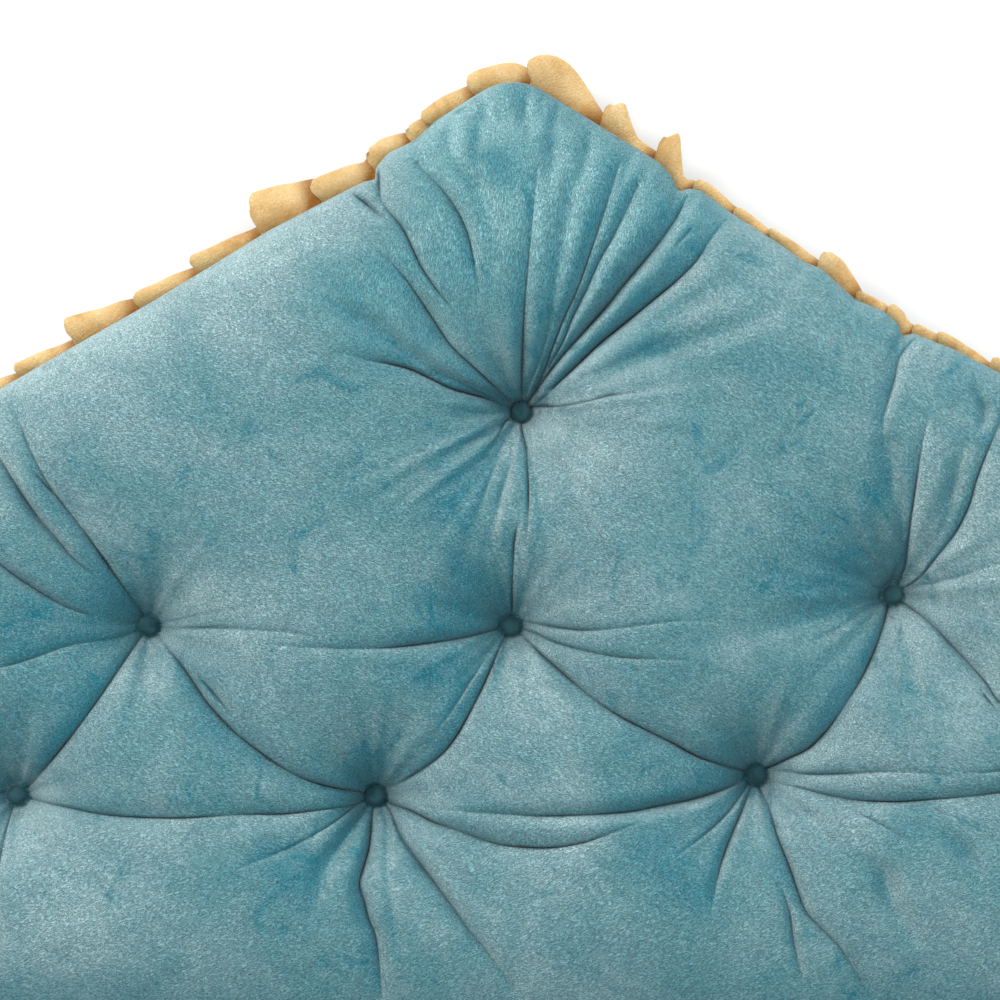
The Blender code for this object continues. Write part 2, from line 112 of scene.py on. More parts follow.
tuft = {
    "wellDepth": 60.0, "wellRadius": 30.0,
    "sagDepth": 14.0, "sagRadius": 105.0,
    "seatRadius": 9.5, "wallRadius": 14.5, "seatBelow": 0.4,
    "ringRadius": 10.2, "ringWidth": 1.3, "ringShade": 1.5,     # painted shade: a dark ring round each button, where the cloth meets it
    "puckerDepth": 1.5, "puckerRadius": 24.0, "puckerCount": 11, "lesserCount": 7, "lesserShare": 0.6,
    "rayReach": [230, 130, 130, 170, 130, 150, 150, 130], "rayHeight": [9, 4.5, 6, 8.5, 3, 4, 4.5, 4],
    "rayCount": 6.0, "rayStart": 45.0, "rayFade": 1.3, "rayTurn": 150.0,
    "rayWave": 0.9, "rayCrease": 0.6, "rayCreaseNarrow": 2.6,
}

# A fold runs from one button to another, or ends free where no button is named. start,
# middle and end are its depths, left and right how far each flank reaches beside it, and
# crack how deep the narrow crease at its bottom is. A fold without a crack is a soft trough.
Fold = namedtuple("Fold", "first path start middle end left right crack last", defaults=[0, None])
folds = [
    # from the peak button to the middle one: two overlapping creases, troughs on both sides
    Fold("peak", [(8, 126), (12, 106), (13, 90), (14, 72), (14, 50), (13, 33), (12, 16), (10, 4)],
         42, 22, 6, 32, 48, 3.5),
    Fold(None, [(7, 52), (4, 34), (1, 18), (0, -2), (-1, -20), (-1, -41)], 4, 22, 42, 46, 30, 3.5, "middle"),
    Fold(None, [(19, 38), (22, 29), (22, 16), (18, 2), (12, -16)], 3, 8, 3, 14, 16),
    Fold(None, [(4, 112), (-5, 80), (-12, 52), (-18, 22)], 7, 12, 3, 18, 16),
    Fold(None, [(-8, 112), (-22, 76), (-30, 44)], 6, 8, 2, 16, 16),
    Fold("peak", [(-7, 131), (-14, 117), (-25, 103), (-40, 92), (-56, 82), (-69, 73)],
         38, 11, 2, 24, 18, 2.4),
    Fold("peak", [(-22, 128), (-40, 116), (-66, 106)], 26, 7, 1, 16, 14, 0.9),
    # up and to the left of the peak button
    Fold("peak", [(-18, 164), (-40, 184), (-58, 201), (-75, 226), (-89, 247), (-103, 266), (-122, 285),
         (-141, 299)], 44, 27, 4, 42, 34, 3.4),
    Fold(None, [(-132, 352), (-117, 327), (-103, 310), (-94, 292), (-85, 273), (-71, 252), (-58, 236),
         (-44, 210)], 14, 18, 5, 20, 30, 4.6),
    Fold(None, [(-126, 374), (-125, 352), (-123, 334)], 16, 18, 8, 10, 12, 4.0),
    Fold(None, [(-156, 347), (-138, 334), (-122, 320)], 8, 18, 12, 14, 14, 3.6),
    Fold(None, [(-90, 372), (-80, 360), (-68, 348), (-56, 332), (-47, 316), (-41, 300), (-36, 276),
         (-30, 240)], 8, 15, 3, 18, 20, 2.8),
    Fold(None, [(-64, 384), (-40, 356), (-26, 330), (-18, 300)], 4, 8, 3, 16, 16),
    Fold("peak", [(-22, 151), (-40, 156), (-58, 161), (-77, 170), (-94, 178), (-113, 183), (-132, 186),
         (-163, 193)], 40, 20, 3, 24, 26, 4.6),
    Fold("peak", [(-30, 158), (-63, 173), (-95, 190), (-108, 201), (-131, 219), (-160, 236)],
         30, 14, 4, 18, 18),
    Fold(None, [(-178, 250), (-140, 222), (-110, 206)], 3, 8, 3, 20, 20),
    # the fan above and to the right of it
    Fold("peak", [(8, 161), (9, 203), (11, 243), (16, 300), (22, 360)], 40, 11, 4, 18, 18, 0.8),
    Fold(None, [(9, 452), (10, 430), (13, 412), (13, 396)], 8, 12, 3, 11, 13),
    Fold(None, [(-26, 440), (-30, 410), (-34, 384), (-33, 352)], 6, 8, 2, 13, 12),
    Fold(None, [(-58, 418), (-60, 392), (-54, 366)], 6, 8, 2, 12, 12),
    Fold(None, [(42, 432), (40, 405), (36, 372), (32, 340)], 5, 8, 2, 13, 13),
    Fold(None, [(74, 410), (70, 385), (62, 350)], 6, 8, 3, 12, 12),
    Fold(None, [(112, 388), (104, 362), (92, 330)], 5, 7, 2, 12, 12),
    Fold("peak", [(20, 168), (30, 203), (36, 240), (44, 290), (56, 350)], 34, 12, 6, 16, 16),
    Fold("peak", [(24, 166), (46, 223), (60, 254), (72, 288), (86, 330), (98, 368)], 40, 17, 9, 20, 20, 1.2),
    Fold("peak", [(44, 200), (55, 226), (68, 252), (80, 279), (94, 304), (116, 350)],
         30, 20, 10, 22, 20, 0.9),
    Fold("peak", [(40, 184), (68, 216), (86, 236), (103, 257), (125, 283), (139, 301), (152, 320),
         (163, 342)], 34, 28, 18, 26, 18, 2.6),
    Fold("peak", [(27, 152), (44, 168), (62, 185), (80, 202), (107, 224), (134, 246), (152, 261), (170, 279),
         (184, 300), (199, 318)], 46, 38, 12, 38, 24, 5.0),
    Fold(None, [(150, 291), (158, 300), (167, 310)], 3, 7, 3, 10, 10, 1.5),
    Fold(None, [(143, 317), (148, 330), (152, 344)], 3, 7, 4, 10, 10, 1.0),
    Fold(None, [(157, 352), (163, 342), (172, 330)], 8, 9, 2, 14, 14, 2.0),
    Fold("peak", [(19, 145), (45, 145), (69, 149), (89, 154), (116, 157), (143, 160)],
         38, 14, 3, 22, 16, 4.0),
    Fold(None, [(50, 160), (89, 175), (116, 186), (152, 197), (188, 209), (240, 228)], 8, 11, 3, 22, 18),
    Fold(None, [(80, 196), (120, 222), (170, 244), (215, 262)], 3, 6, 2, 22, 22),
    # up from the left button
    Fold("left", [(-351, -45), (-368, -18), (-390, 15), (-408, 40), (-427, 65), (-443, 92), (-455, 119),
         (-472, 165)], 44, 26, 5, 36, 40, 3.4),
    Fold(None, [(-450, 92), (-443, 82), (-430, 66), (-412, 50)], 4, 15, 10, 10, 10, 2.4),
    Fold(None, [(-492, 118), (-479, 99), (-461, 70), (-443, 43), (-425, 22), (-408, 2), (-384, -18)],
         9, 23, 11, 17, 22, 1.6),
    Fold(None, [(-505, 20), (-481, 2), (-455, -18), (-420, -40), (-390, -52)], 7, 19, 14, 18, 18, 1.3),
    Fold("left", [(-368, -71), (-415, -79), (-482, -99), (-600, -110)], 38, 12, 4, 40, 36, 1.6),
    Fold("left", [(-384, -125), (-415, -167), (-448, -205)], 44, 27, 42, 46, 44, 3.6, "lowFarLeft"),
    # the left pocket's lower edge, which doubles halfway along
    Fold("left", [(-329, -76), (-309, -98), (-296, -116), (-283, -134), (-262, -156), (-240, -174),
         (-213, -193), (-181, -208)], 44, 27, 44, 44, 46, 4.2, "lowLeft"),
    Fold(None, [(-300, -98), (-288, -112), (-272, -130), (-257, -148)], 6, 17, 5, 9, 10, 3.0),
    Fold("left", [(-320, -63), (-270, -62), (-210, -65), (-180, -70), (-160, -75)], 36, 9, 2, 26, 22, 2.8),
    Fold(None, [(-252, -72), (-210, -78), (-168, -80), (-122, -80), (-96, -78), (-62, -74), (-30, -68)],
         2, 10, 38, 26, 24, 2.6, "middle"),
    Fold("left", [(-316, -54), (-270, -44), (-220, -40)], 26, 6, 1, 20, 16),
    Fold(None, [(-300, -72), (-262, -84), (-236, -98)], 8, 5, 1, 14, 14, 0.6),
    # down from the middle button
    Fold("middle", [(-12, -80), (-26, -112), (-41, -142), (-55, -166), (-71, -184), (-98, -203)],
         44, 27, 44, 46, 42, 4.2, "lowLeft"),
    Fold(None, [(-24, -88), (-40, -112), (-54, -134), (-74, -162)], 16, 12, 4, 14, 16, 0.6),
    Fold("middle", [(10, -71), (24, -85), (40, -99), (60, -116), (79, -131), (101, -145), (124, -157),
         (150, -170), (176, -184)], 44, 25, 44, 46, 44, 4.2, "lowRight"),
    Fold("middle", [(10, -57), (40, -62), (71, -64), (111, -60), (150, -55), (190, -55)],
         36, 8, 2, 16, 14, 2.2),
    Fold("middle", [(22, -68), (40, -76), (71, -84), (103, -89), (134, -90), (172, -92)],
         38, 12, 2, 18, 16, 3.2),
    Fold(None, [(100, -76), (150, -77), (190, -74), (229, -66), (251, -58), (300, -48)],
         3, 9, 36, 30, 26, 0, "right"),
    Fold(None, [(92, -90), (112, -100), (138, -110)], 2, 6, 1, 10, 10),
    Fold(None, [(283, -70), (318, -50), (340, -38)], 5, 10, 36, 16, 16, 0, "right"),
    # round the right button
    Fold("right", [(349, -55), (341, -75), (331, -97), (321, -115), (308, -135), (293, -157), (276, -175),
         (258, -185)], 44, 30, 44, 42, 48, 4.2, "lowRight"),
    Fold(None, [(300, -116), (312, -132), (298, -162)], 4, 14, 5, 12, 10),
    Fold("right", [(368, -40), (389, -57), (406, -75), (426, -97), (439, -112), (457, -135), (514, -169)],
         44, 27, 44, 44, 44, 3.8, "lowFarRight"),
    Fold(None, [(429, -112), (442, -130), (457, -147)], 5, 15, 4, 9, 9, 2.4),
    Fold("right", [(363, -16), (367, 5), (364, 26), (352, 66), (346, 106)], 38, 14, 9, 22, 20),
    Fold("right", [(367, -8), (369, 18), (370, 40), (373, 68), (378, 105), (384, 132)],
         38, 15, 3, 20, 13, 1.4),
    Fold(None, [(396, 22), (405, 51), (412, 85), (420, 112)], 5, 12, 3, 18, 14),
    Fold(None, [(428, 164), (436, 148), (439, 134), (431, 120)], 4, 12, 3, 12, 10),
    Fold(None, [(373, 206), (359, 189), (354, 170), (347, 148), (342, 128), (345, 108)],
         12, 11, 4, 14, 24, 1.0),
    Fold(None, [(359, 226), (359, 206), (359, 190)], 4, 6, 3, 10, 10, 1.0),
    Fold("right", [(378, -18), (395, 4), (411, 26), (423, 51), (430, 76), (437, 95), (448, 120), (456, 139),
         (462, 170)], 42, 19, 5, 30, 30, 3.0),
    Fold("right", [(372, -26), (410, -16), (452, -2), (510, 10)], 34, 9, 2, 26, 26, 0.6),
    Fold("right", [(378, -34), (430, -48), (500, -60)], 30, 8, 2, 22, 22),
    # along the lowest row, and out to the sides
    Fold("lowFarLeft", [(-453, -224), (-419, -229), (-375, -236), (-318, -238), (-256, -235), (-213, -235),
         (-181, -232), (-141, -228)], 40, 15, 42, 40, 38, 3.2, "lowLeft"),
    Fold("lowLeft", [(-116, -228), (-95, -234), (-75, -243), (-47, -252), (-16, -262), (10, -265),
         (38, -265), (69, -259), (101, -247), (134, -235)], 42, 22, 5, 30, 46, 4.6),
    Fold(None, [(-84, -228), (-51, -232), (-8, -234), (30, -236), (101, -233), (134, -228), (169, -222),
         (201, -213)], 6, 16, 40, 26, 18, 2.6, "lowRight"),
    Fold(None, [(-92, -240), (-66, -247), (-38, -252), (-16, -254)], 4, 8, 3, 9, 9, 1.4),
    Fold("lowRight", [(242, -207), (269, -212), (294, -218), (319, -222), (356, -223), (394, -220),
         (431, -217), (458, -214)], 42, 18, 40, 24, 44, 3.0, "lowFarRight"),
    Fold("lowRight", [(250, -197), (276, -199), (316, -197), (344, -195), (381, -196), (413, -200)],
         40, 12, 2, 28, 16, 2.4),
    Fold(None, [(409, -194), (426, -196), (456, -194), (500, -190)], 2, 8, 4, 14, 10, 1.8),
    Fold(None, [(294, -222), (328, -237), (363, -257), (372, -270)], 8, 9, 2, 14, 18, 1.0),
    Fold("lowFarLeft", [(-560, -205), (-660, -190)], 38, 16, 4, 42, 40, 2.0),
    Fold("lowFarRight", [(650, -190), (700, -182)], 38, 16, 4, 42, 40, 2.0),
    # down to the base
    Fold("lowFarLeft", [(-472, -240), (-479, -291), (-478, -330), (-476, -380)], 42, 22, 8, 30, 34, 2.2),
    Fold("lowLeft", [(-132, -235), (-134, -264), (-138, -281), (-143, -300), (-138, -316), (-134, -332),
         (-127, -350), (-122, -400)], 42, 20, 7, 24, 28, 2.6),
    Fold("lowLeft", [(-120, -235), (-118, -270), (-114, -310), (-106, -360)], 34, 10, 4, 14, 14),
    Fold("lowLeft", [(-141, -236), (-160, -262), (-176, -290), (-184, -330)], 36, 16, 4, 22, 24),
    Fold("lowLeft", [(-116, -235), (-104, -258), (-87, -281), (-75, -296), (-58, -318), (-41, -341),
         (-22, -364), (0, -395)], 42, 18, 5, 24, 28, 1.8),
    Fold("lowLeft", [(-104, -240), (-80, -268), (-52, -296), (-20, -326)], 32, 9, 3, 18, 18),
    Fold("lowLeft", [(-150, -232), (-171, -246), (-200, -262), (-213, -268), (-252, -283)],
         40, 13, 3, 20, 28, 1.8),
    Fold("lowRight", [(231, -212), (240, -232), (246, -255), (258, -287), (267, -314), (274, -328),
         (290, -344), (306, -362), (330, -400)], 42, 22, 8, 22, 34, 3.0),
    Fold(None, [(244, -284), (247, -298), (252, -312), (257, -330), (260, -352), (266, -380)],
         4, 12, 5, 13, 13, 1.2),
    Fold("lowRight", [(222, -218), (212, -238), (200, -262), (190, -290), (184, -320)],
         40, 22, 4, 18, 24, 2.2),
    Fold("lowRight", [(212, -222), (195, -240), (172, -258), (146, -276)], 36, 15, 3, 14, 18, 2.0),
    Fold("lowRight", [(206, -216), (176, -230), (140, -246)], 30, 8, 2, 12, 14),
    Fold("lowRight", [(238, -214), (282, -250), (330, -300)], 34, 9, 2, 22, 22),
    Fold(None, [(300, -262), (340, -290), (352, -318), (372, -350)], 3, 13, 4, 20, 18),
    Fold(None, [(392, -250), (420, -272), (436, -300)], 3, 10, 3, 22, 18),
    Fold("lowFarRight", [(580, -260), (585, -290), (580, -375)], 42, 20, 8, 34, 34, 2.2),
]

flank = {"roundShare": 0.40, "power": 1.8, "valleyShare": 0.38, "valleyReach": 66.0, "broadFrom": 28.0,
         "softFall": 2.6, "crackWidth": 1.0, "crackPatch": 46.0, "crackFade": 0.42,
         "crackFrom": 3.0, "crackGrow": 14.0, "crackMean": 0.62, "crackSwing": 0.9, "pathStep": 6.0,
         "crackThin": 0.55, "crackThick": 0.12, "foldShadeDepth": 26.0, "foldShadePower": 1.4, "creaseShadeDepth": 3.2}
waves = [(130.0, 2.6), (46.0, 1.1), (19.0, 0.35)]   # wavelength and height of the filling's lumps
seamPucker = {"pitch": 15.0, "height": 1.2, "inset": 12.0, "reach": 20.0, "patch": 60.0,
              "drift": 2.4, "driftRun": 31.0}


# Outline of the cushion, walked counter-clockwise from the right end of the base
def outlineCorners():
    form = cushionForm
    peak = form["top"] + form["peakRadius"] * (1 / math.cos(form["slope"]) - 1)
    shoulder = peak - form["halfWidth"] * math.tan(form["slope"])
    return [
        (form["halfWidth"], form["base"], form["cornerRadius"]),
        (form["halfWidth"], shoulder, form["cornerRadius"]),
        (0.0, peak, form["peakRadius"]),
        (-form["halfWidth"], shoulder, form["cornerRadius"]),
        (-form["halfWidth"], form["base"], form["cornerRadius"]),
    ]


def cornerArc(before, corner, after):
    here = np.array(corner[:2])
    towardBefore = np.array(before[:2]) - here
    towardAfter = np.array(after[:2]) - here
    towardBefore = towardBefore / np.linalg.norm(towardBefore)
    towardAfter = towardAfter / np.linalg.norm(towardAfter)
    halfAngle = math.acos(float(towardBefore @ towardAfter)) / 2
    bisector = (towardBefore + towardAfter) / np.linalg.norm(towardBefore + towardAfter)
    centre = here + bisector * corner[2] / math.sin(halfAngle)
    first = here + towardBefore * corner[2] / math.tan(halfAngle) - centre
    return centre, math.atan2(first[1], first[0]), math.pi - 2 * halfAngle


def walkOutline(fineStep, wideStep):
    corners = outlineCorners()
    triples = zip(corners[-1:] + corners[:-1], corners, corners[1:] + corners[:1])
    arcs = [cornerArc(*triple) for triple in triples]
    places, normals = [], []
    for index, (centre, begin, turn) in enumerate(arcs):
        radius = corners[index][2]
        pieces = math.ceil(turn * radius / fineStep)
        for piece in range(pieces + 1):
            angle = begin + turn * piece / pieces
            normals.append(np.array([math.cos(angle), math.sin(angle)]))
            places.append(centre + normals[-1] * radius)
        follower = (index + 1) % len(arcs)
        nextCentre, nextBegin, _ = arcs[follower]
        finish = nextCentre + corners[follower][2] * np.array([math.cos(nextBegin), math.sin(nextBegin)])
        start, normal = places[-1], normals[-1]
        step = fineStep if normal[1] > 0.5 else wideStep
        pieces = round(float(np.linalg.norm(finish - start)) / step)
        for piece in range(1, pieces):
            places.append(start + (finish - start) * piece / pieces)
            normals.append(normal)
    return np.array(places), np.array(normals)


def smoothStep(t):
    t = np.clip(t, 0, 1)
    return t * t * (3 - 2 * t)


def noiseOf(places):
    return np.array([noise.noise(place) for place in places])


def sag(at, centre, depth, reach):
    return depth * np.exp(-((at - centre) / reach) ** 2)


def slopeDraw(x):
    return np.where(x < 0, np.interp(x, *zip(*drawLeft)), np.interp(x, *zip(*drawRight)))


def sideDraw(y):
    return sag(y, *cushionForm["sideSag"])


def baseDraw(x):
    return sum(sag(x, *row) for row in cushionForm["baseSags"])


def edgeDraw(places, normals):
    drawn = np.where(np.abs(normals[:, 0]) > 0.9, sideDraw(places[:, 1]), 0.0)
    drawn = np.where(normals[:, 1] < -0.9, baseDraw(places[:, 0]), drawn)
    return np.where(normals[:, 1] > 0.5, slopeDraw(places[:, 0]), drawn)


def edgeRing(places, normals, inset, height):
    depth = inset + edgeDraw(places, normals) * math.exp(-inset / cushionForm["drawRun"])
    ring = places - normals * depth[:, None]
    return np.column_stack([ring, np.full(len(ring), height)])


# Height of the front
def softMin(a, b, reach):
    blend = np.maximum(np.minimum(reach, a + b), 0.01)
    share = np.clip(0.5 + 0.5 * (b - a) / blend, 0, 1)
    return b * (1 - share) + a * share - blend * share * (1 - share)


# The notch at an edge fades with the inset itself, so the inset is found by repetition
def drawnInset(plain, drawn):
    inset = plain
    for _ in range(10):
        inset = plain - drawn * np.exp(-np.maximum(inset, 0) / cushionForm["drawRun"])
    return inset


def edgeInset(xy):
    form = cushionForm
    x, y = xy[:, 0], xy[:, 1]
    peak = outlineCorners()[2][1]
    sine, cosine = math.sin(form["slope"]), math.cos(form["slope"])
    right = (peak - y) * cosine - x * sine
    left = (peak - y) * cosine + x * sine
    right = drawnInset(right, np.interp(x + right * sine, *zip(*drawRight)))
    left = drawnInset(left, np.interp(x - left * sine, *zip(*drawLeft)))
    inset = softMin(left, right, form["ridgeRound"])
    sides = drawnInset(form["halfWidth"] - np.abs(x), sideDraw(y))
    base = drawnInset(y - form["base"], baseDraw(x))
    inset = softMin(inset, sides, form["ridgeRound"])
    return np.maximum(softMin(inset, base, form["ridgeRound"]), 0.0)


def crown(inset):
    form = cushionForm
    rest = 1 - np.clip(inset / form["roll"], 0, 1)
    bulge = (1 - rest ** form["rollPower"]) ** (1 / form["rollPower"])
    return form["rim"] + (form["crown"] - form["rim"]) * bulge


def smoothPath(knots, step):
    knots = [np.array(k, float) for k in knots]
    knots = [2 * knots[0] - knots[1]] + knots + [2 * knots[-1] - knots[-2]]
    path = []
    for a, b, c, d in zip(knots, knots[1:], knots[2:], knots[3:]):
        pieces = max(2, round(float(np.linalg.norm(c - b)) / step))
        for piece in range(pieces):
            t = piece / pieces
            path.append(0.5 * (2 * b + (c - a) * t + (2 * a - 5 * b + 4 * c - d) * t ** 2
                               + (3 * b - a - 3 * c + d) * t ** 3))
    path.append(knots[-2])
    return np.array(path)


def foldPath(fold, step):
    knots = list(fold.path)
    if fold.first:
        knots.insert(0, buttonPlaces[fold.first])
    if fold.last:
        knots.append(buttonPlaces[fold.last])
    return smoothPath(knots, step)


# Distance of each point to a path, how far along it lies, and on which side
def besidePath(xy, path):
    gap = np.full(len(xy), 1e9)
    along = np.zeros(len(xy))
    side = np.zeros(len(xy))
    lengths = np.linalg.norm(np.diff(path, axis=0), axis=1)
    starts = np.concatenate([[0], np.cumsum(lengths)])
    for i, length in enumerate(lengths):
        run = (path[i + 1] - path[i]) / length
        offset = xy - path[i]
        t = np.clip(offset @ run, 0, length)
        reach = np.linalg.norm(offset - t[:, None] * run, axis=1)
        closer = reach < gap
        gap = np.where(closer, reach, gap)
        along = np.where(closer, starts[i] + t, along)
        side = np.where(closer, run[0] * offset[:, 1] - run[1] * offset[:, 0], side)
    return gap, along / starts[-1], side


def flankShape(q):
    rest = 1 - np.clip(q, 0, 1)
    bent = 1 - np.sqrt(1 - rest ** 2)
    return (1 - flank["roundShare"]) * rest ** flank["power"] + flank["roundShare"] * bent


def foldRelief(xy):
    power = cushionForm["power"]
    narrow = np.zeros(len(xy))
    valley = np.zeros(len(xy))
    crack = np.zeros(len(xy))
    reach = flank["valleyReach"]
    for number, fold in enumerate(folds):
        path = foldPath(fold, flank["pathStep"])
        low, high = path.min(0) - 2 * reach, path.max(0) + 2 * reach
        near = np.where(((xy > low) & (xy < high)).all(1))[0]
        gap, along, side = besidePath(xy[near], path)
        depth = np.interp(along, [0, 0.5, 1], [fold.start, fold.middle, fold.end])
        width = np.where(side > 0, fold.left, fold.right)
        broad = flank["valleyShare"] if max(fold.left, fold.right) > flank["broadFrom"] else 0.0
        shape = flankShape(gap / width) if fold.crack else np.exp(-flank["softFall"] * (gap / width) ** 2)
        narrow[near] += ((1 - broad) * depth * shape) ** power
        valley[near] += (broad * depth * np.exp(-(gap / reach) ** 2)) ** power
        if fold.crack:
            crackWidth = flank["crackWidth"] * (flank["crackThin"] + flank["crackThick"] * fold.crack)
            sharp = fold.crack * np.exp(-(gap / crackWidth) ** 2)
            sharp *= smoothStep((depth - flank["crackFrom"]) / flank["crackGrow"])
            if not fold.first:
                sharp *= smoothStep(along / flank["crackFade"])
            if not fold.last:
                sharp *= smoothStep((1 - along) / flank["crackFade"])
            run = along * len(path) * flank["pathStep"] / flank["crackPatch"]
            wave = noiseOf((r, number * 3.7, 5.0) for r in run)
            sharp *= flank["crackMean"] + flank["crackSwing"] * wave
            crack[near] = np.maximum(crack[near], sharp)
    return narrow ** (1 / power), valley ** (1 / power), crack


def lumps(xy):
    total = np.zeros(len(xy))
    for wavelength, height in waves:
        total += height * noiseOf((x / wavelength, y / wavelength, wavelength) for x, y in xy)
    return total


# Wrinkles that run straight out from a button and die away
def rays(reach, angle, number):
    limit = tuft["rayReach"][number]
    total = np.zeros(len(reach))
    near = np.where(reach < limit)[0]
    count = tuft["rayCount"]
    wave = noiseOf((count * math.cos(a), count * math.sin(a), number * 5.3 + r / tuft["rayTurn"])
                   for a, r in zip(angle[near], reach[near]))
    crease = np.clip(1 - tuft["rayCreaseNarrow"] * np.abs(wave), 0, 1) ** 2
    rest = 1 - reach[near] / limit
    height = tuft["rayHeight"][number] * smoothStep(reach[near] / tuft["rayStart"]) * rest ** tuft["rayFade"]
    total[near] = height * (tuft["rayWave"] * wave - tuft["rayCrease"] * crease)
    return total


def frontSurface(xy):
    power = cushionForm["power"]
    inset = edgeInset(xy)
    narrow, valley, crack = foldRelief(xy)
    wells = np.zeros(len(xy))
    sags = np.zeros(len(xy))
    puckers = np.zeros(len(xy))
    for number, place in enumerate(buttonPlaces.values()):
        offset = xy - np.array(place)
        reach = np.linalg.norm(offset, axis=1)
        angle = np.arctan2(offset[:, 1], offset[:, 0])
        wells += (tuft["wellDepth"] / (1 + (reach / tuft["wellRadius"]) ** 2)) ** power
        sags += tuft["sagDepth"] * np.exp(-(reach / tuft["sagRadius"]) ** 2)
        wave = np.cos(tuft["puckerCount"] * angle + number * 1.7)
        wave += tuft["lesserShare"] * np.cos(tuft["lesserCount"] * angle + number)
        far = reach / tuft["puckerRadius"]
        puckers += tuft["puckerDepth"] * wave * far * np.exp(1 - far)
        puckers += rays(reach, angle, number)
    fade = np.clip(inset / cushionForm["foldFade"], 0, 1)
    fade = fade * (2 - fade)
    depth = (wells + narrow ** power) ** (1 / power)
    foot = xy[:, 0] + np.sign(xy[:, 0]) * inset * math.sin(cushionForm["slope"])
    drift = seamPucker["drift"] * np.sin(foot / seamPucker["driftRun"])
    gather = np.cos(2 * math.pi * foot / seamPucker["pitch"] + drift)
    gather *= seamPucker["height"] * np.exp(-((inset - seamPucker["inset"]) / seamPucker["reach"]) ** 2)
    patch = noiseOf((f / seamPucker["patch"], 7.0, 2.0) for f in foot)
    gather *= smoothStep(0.5 + 1.6 * patch)
    height = crown(inset) - (depth + valley + sags + crack) * fade + (lumps(xy) + puckers) * fade + gather
    for number, place in enumerate(buttonPlaces.values(), start=1):
        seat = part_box(f"button_{number}")[0].z / mm - tuft["seatBelow"]
        reach = np.linalg.norm(xy - np.array(place), axis=1)
        share = smoothStep((reach - tuft["seatRadius"]) / (tuft["wallRadius"] - tuft["seatRadius"]))
        height = seat + (height - seat) * share
        # Painted shade: a dark ring round each button, added to the crease shade only and not to the height
        ring = np.exp(-((reach - tuft["ringRadius"]) / tuft["ringWidth"]) ** 2)
        crack = np.maximum(crack, tuft["ringShade"] * ring)
    # Painted shade: how far down in a fold each point lies, for the material to darken it
    foldShadeShare = np.clip(narrow / flank["foldShadeDepth"], 0, 1) ** flank["foldShadePower"] * fade
    # Painted shade in the narrow creases, from their depth
    return height, foldShadeShare, np.clip(crack / flank["creaseShadeDepth"], 0, 1) * fade


# Points of the front, kept apart by a grid of cells
class Scatter:
    def __init__(self, cell):
        self.cell = cell
        self.cells = {}
        self.points = []
        self.edges = []

    def isFree(self, x, y, gap):
        span = math.ceil(gap / self.cell)
        column, row = math.floor(x / self.cell), math.floor(y / self.cell)
        for i in range(column - span, column + span + 1):
            for j in range(row - span, row + span + 1):
                for px, py in self.cells.get((i, j), ()):
                    if (px - x) ** 2 + (py - y) ** 2 < gap * gap:
                        return False
        return True

    def place(self, x, y):
        key = (math.floor(x / self.cell), math.floor(y / self.cell))
        self.cells.setdefault(key, []).append((x, y))
        self.points.append((x, y))
        return len(self.points) - 1

    def loose(self, points, gap):
        for x, y in points:
            if self.isFree(x, y, gap):
                self.place(float(x), float(y))

    def chain(self, points, closed):
        indices = [self.place(float(x), float(y)) for x, y in points]
        self.edges.extend(zip(indices, indices[1:]))
        if closed:
            self.edges.append((indices[-1], indices[0]))

    # Lays a chain in as many runs as the points already placed leave it
    def openChain(self, points, gap):
        runs = [[]]
        for x, y in points:
            if self.isFree(x, y, gap):
                runs[-1].append((x, y))
            elif runs[-1]:
                runs.append([])
        for run in runs:
            if len(run) > 1:
                self.chain(run, False)


def sidePoints(path, offset):
    run = np.gradient(path, axis=0)
    run = run / np.linalg.norm(run, axis=1)[:, None]
    return path + offset * np.column_stack([-run[:, 1], run[:, 0]])


def outsideButtons(points, radius):
    for place in buttonPlaces.values():
        points = points[np.linalg.norm(points - np.array(place), axis=1) > radius]
    return points


def circlePoints(place, radius, step, turn=0.0):
    count = round(2 * math.pi * radius / step)
    angles = turn + np.arange(count) * 2 * math.pi / count
    return np.column_stack([place.x + radius * np.cos(angles), place.y + radius * np.sin(angles)])


def inPicture(xy):
    half = picture["width"] / 2 + 20
    return (np.abs(xy[:, 0] - picture["x"]) < half) & (xy[:, 1] > picture["y"] - half)


def hexFill(step):
    form = cushionForm
    rows = np.arange(form["base"], form["top"], step * math.sqrt(3) / 2)
    columns = np.arange(-form["halfWidth"], form["halfWidth"], step)
    return np.concatenate([np.column_stack([columns + (i % 2) * step / 2, np.full(len(columns), y)])
                           for i, y in enumerate(rows)])


cushionMesh = {
    "rimInset": 3.0,
    "loops": [(5.5, 3.0), (9, 3.2), (14, 4.0), (20, 4.4), (27, 5.0), (35, 5.2)],
    "foldRows": [(1.3, 1.0), (3.4, 1.9), (7, 3.0), (11, 3.6), (16, 4.2), (22, 4.8)],
    "creaseStep": 3.0, "creaseGap": 1.1, "creaseFrom": 12.2,     # the points along a crease
    "rowStretch": 0.14, "tuftStep": (1.7, 0.07), "tuftGap": 0.6, "loopGap": 0.8, "fillGap": 0.72,
    "buttonCircles": [(5.0, 5.0, 2.0), (9.5, 2.4, 1.0), (11.2, 2.5, 1.0)],     # radius, step, gap
    "tuftCircles": [13.2, 15, 18, 22, 27, 33, 40],
    "fine": 4.3,
    "wide": 10.5,
}


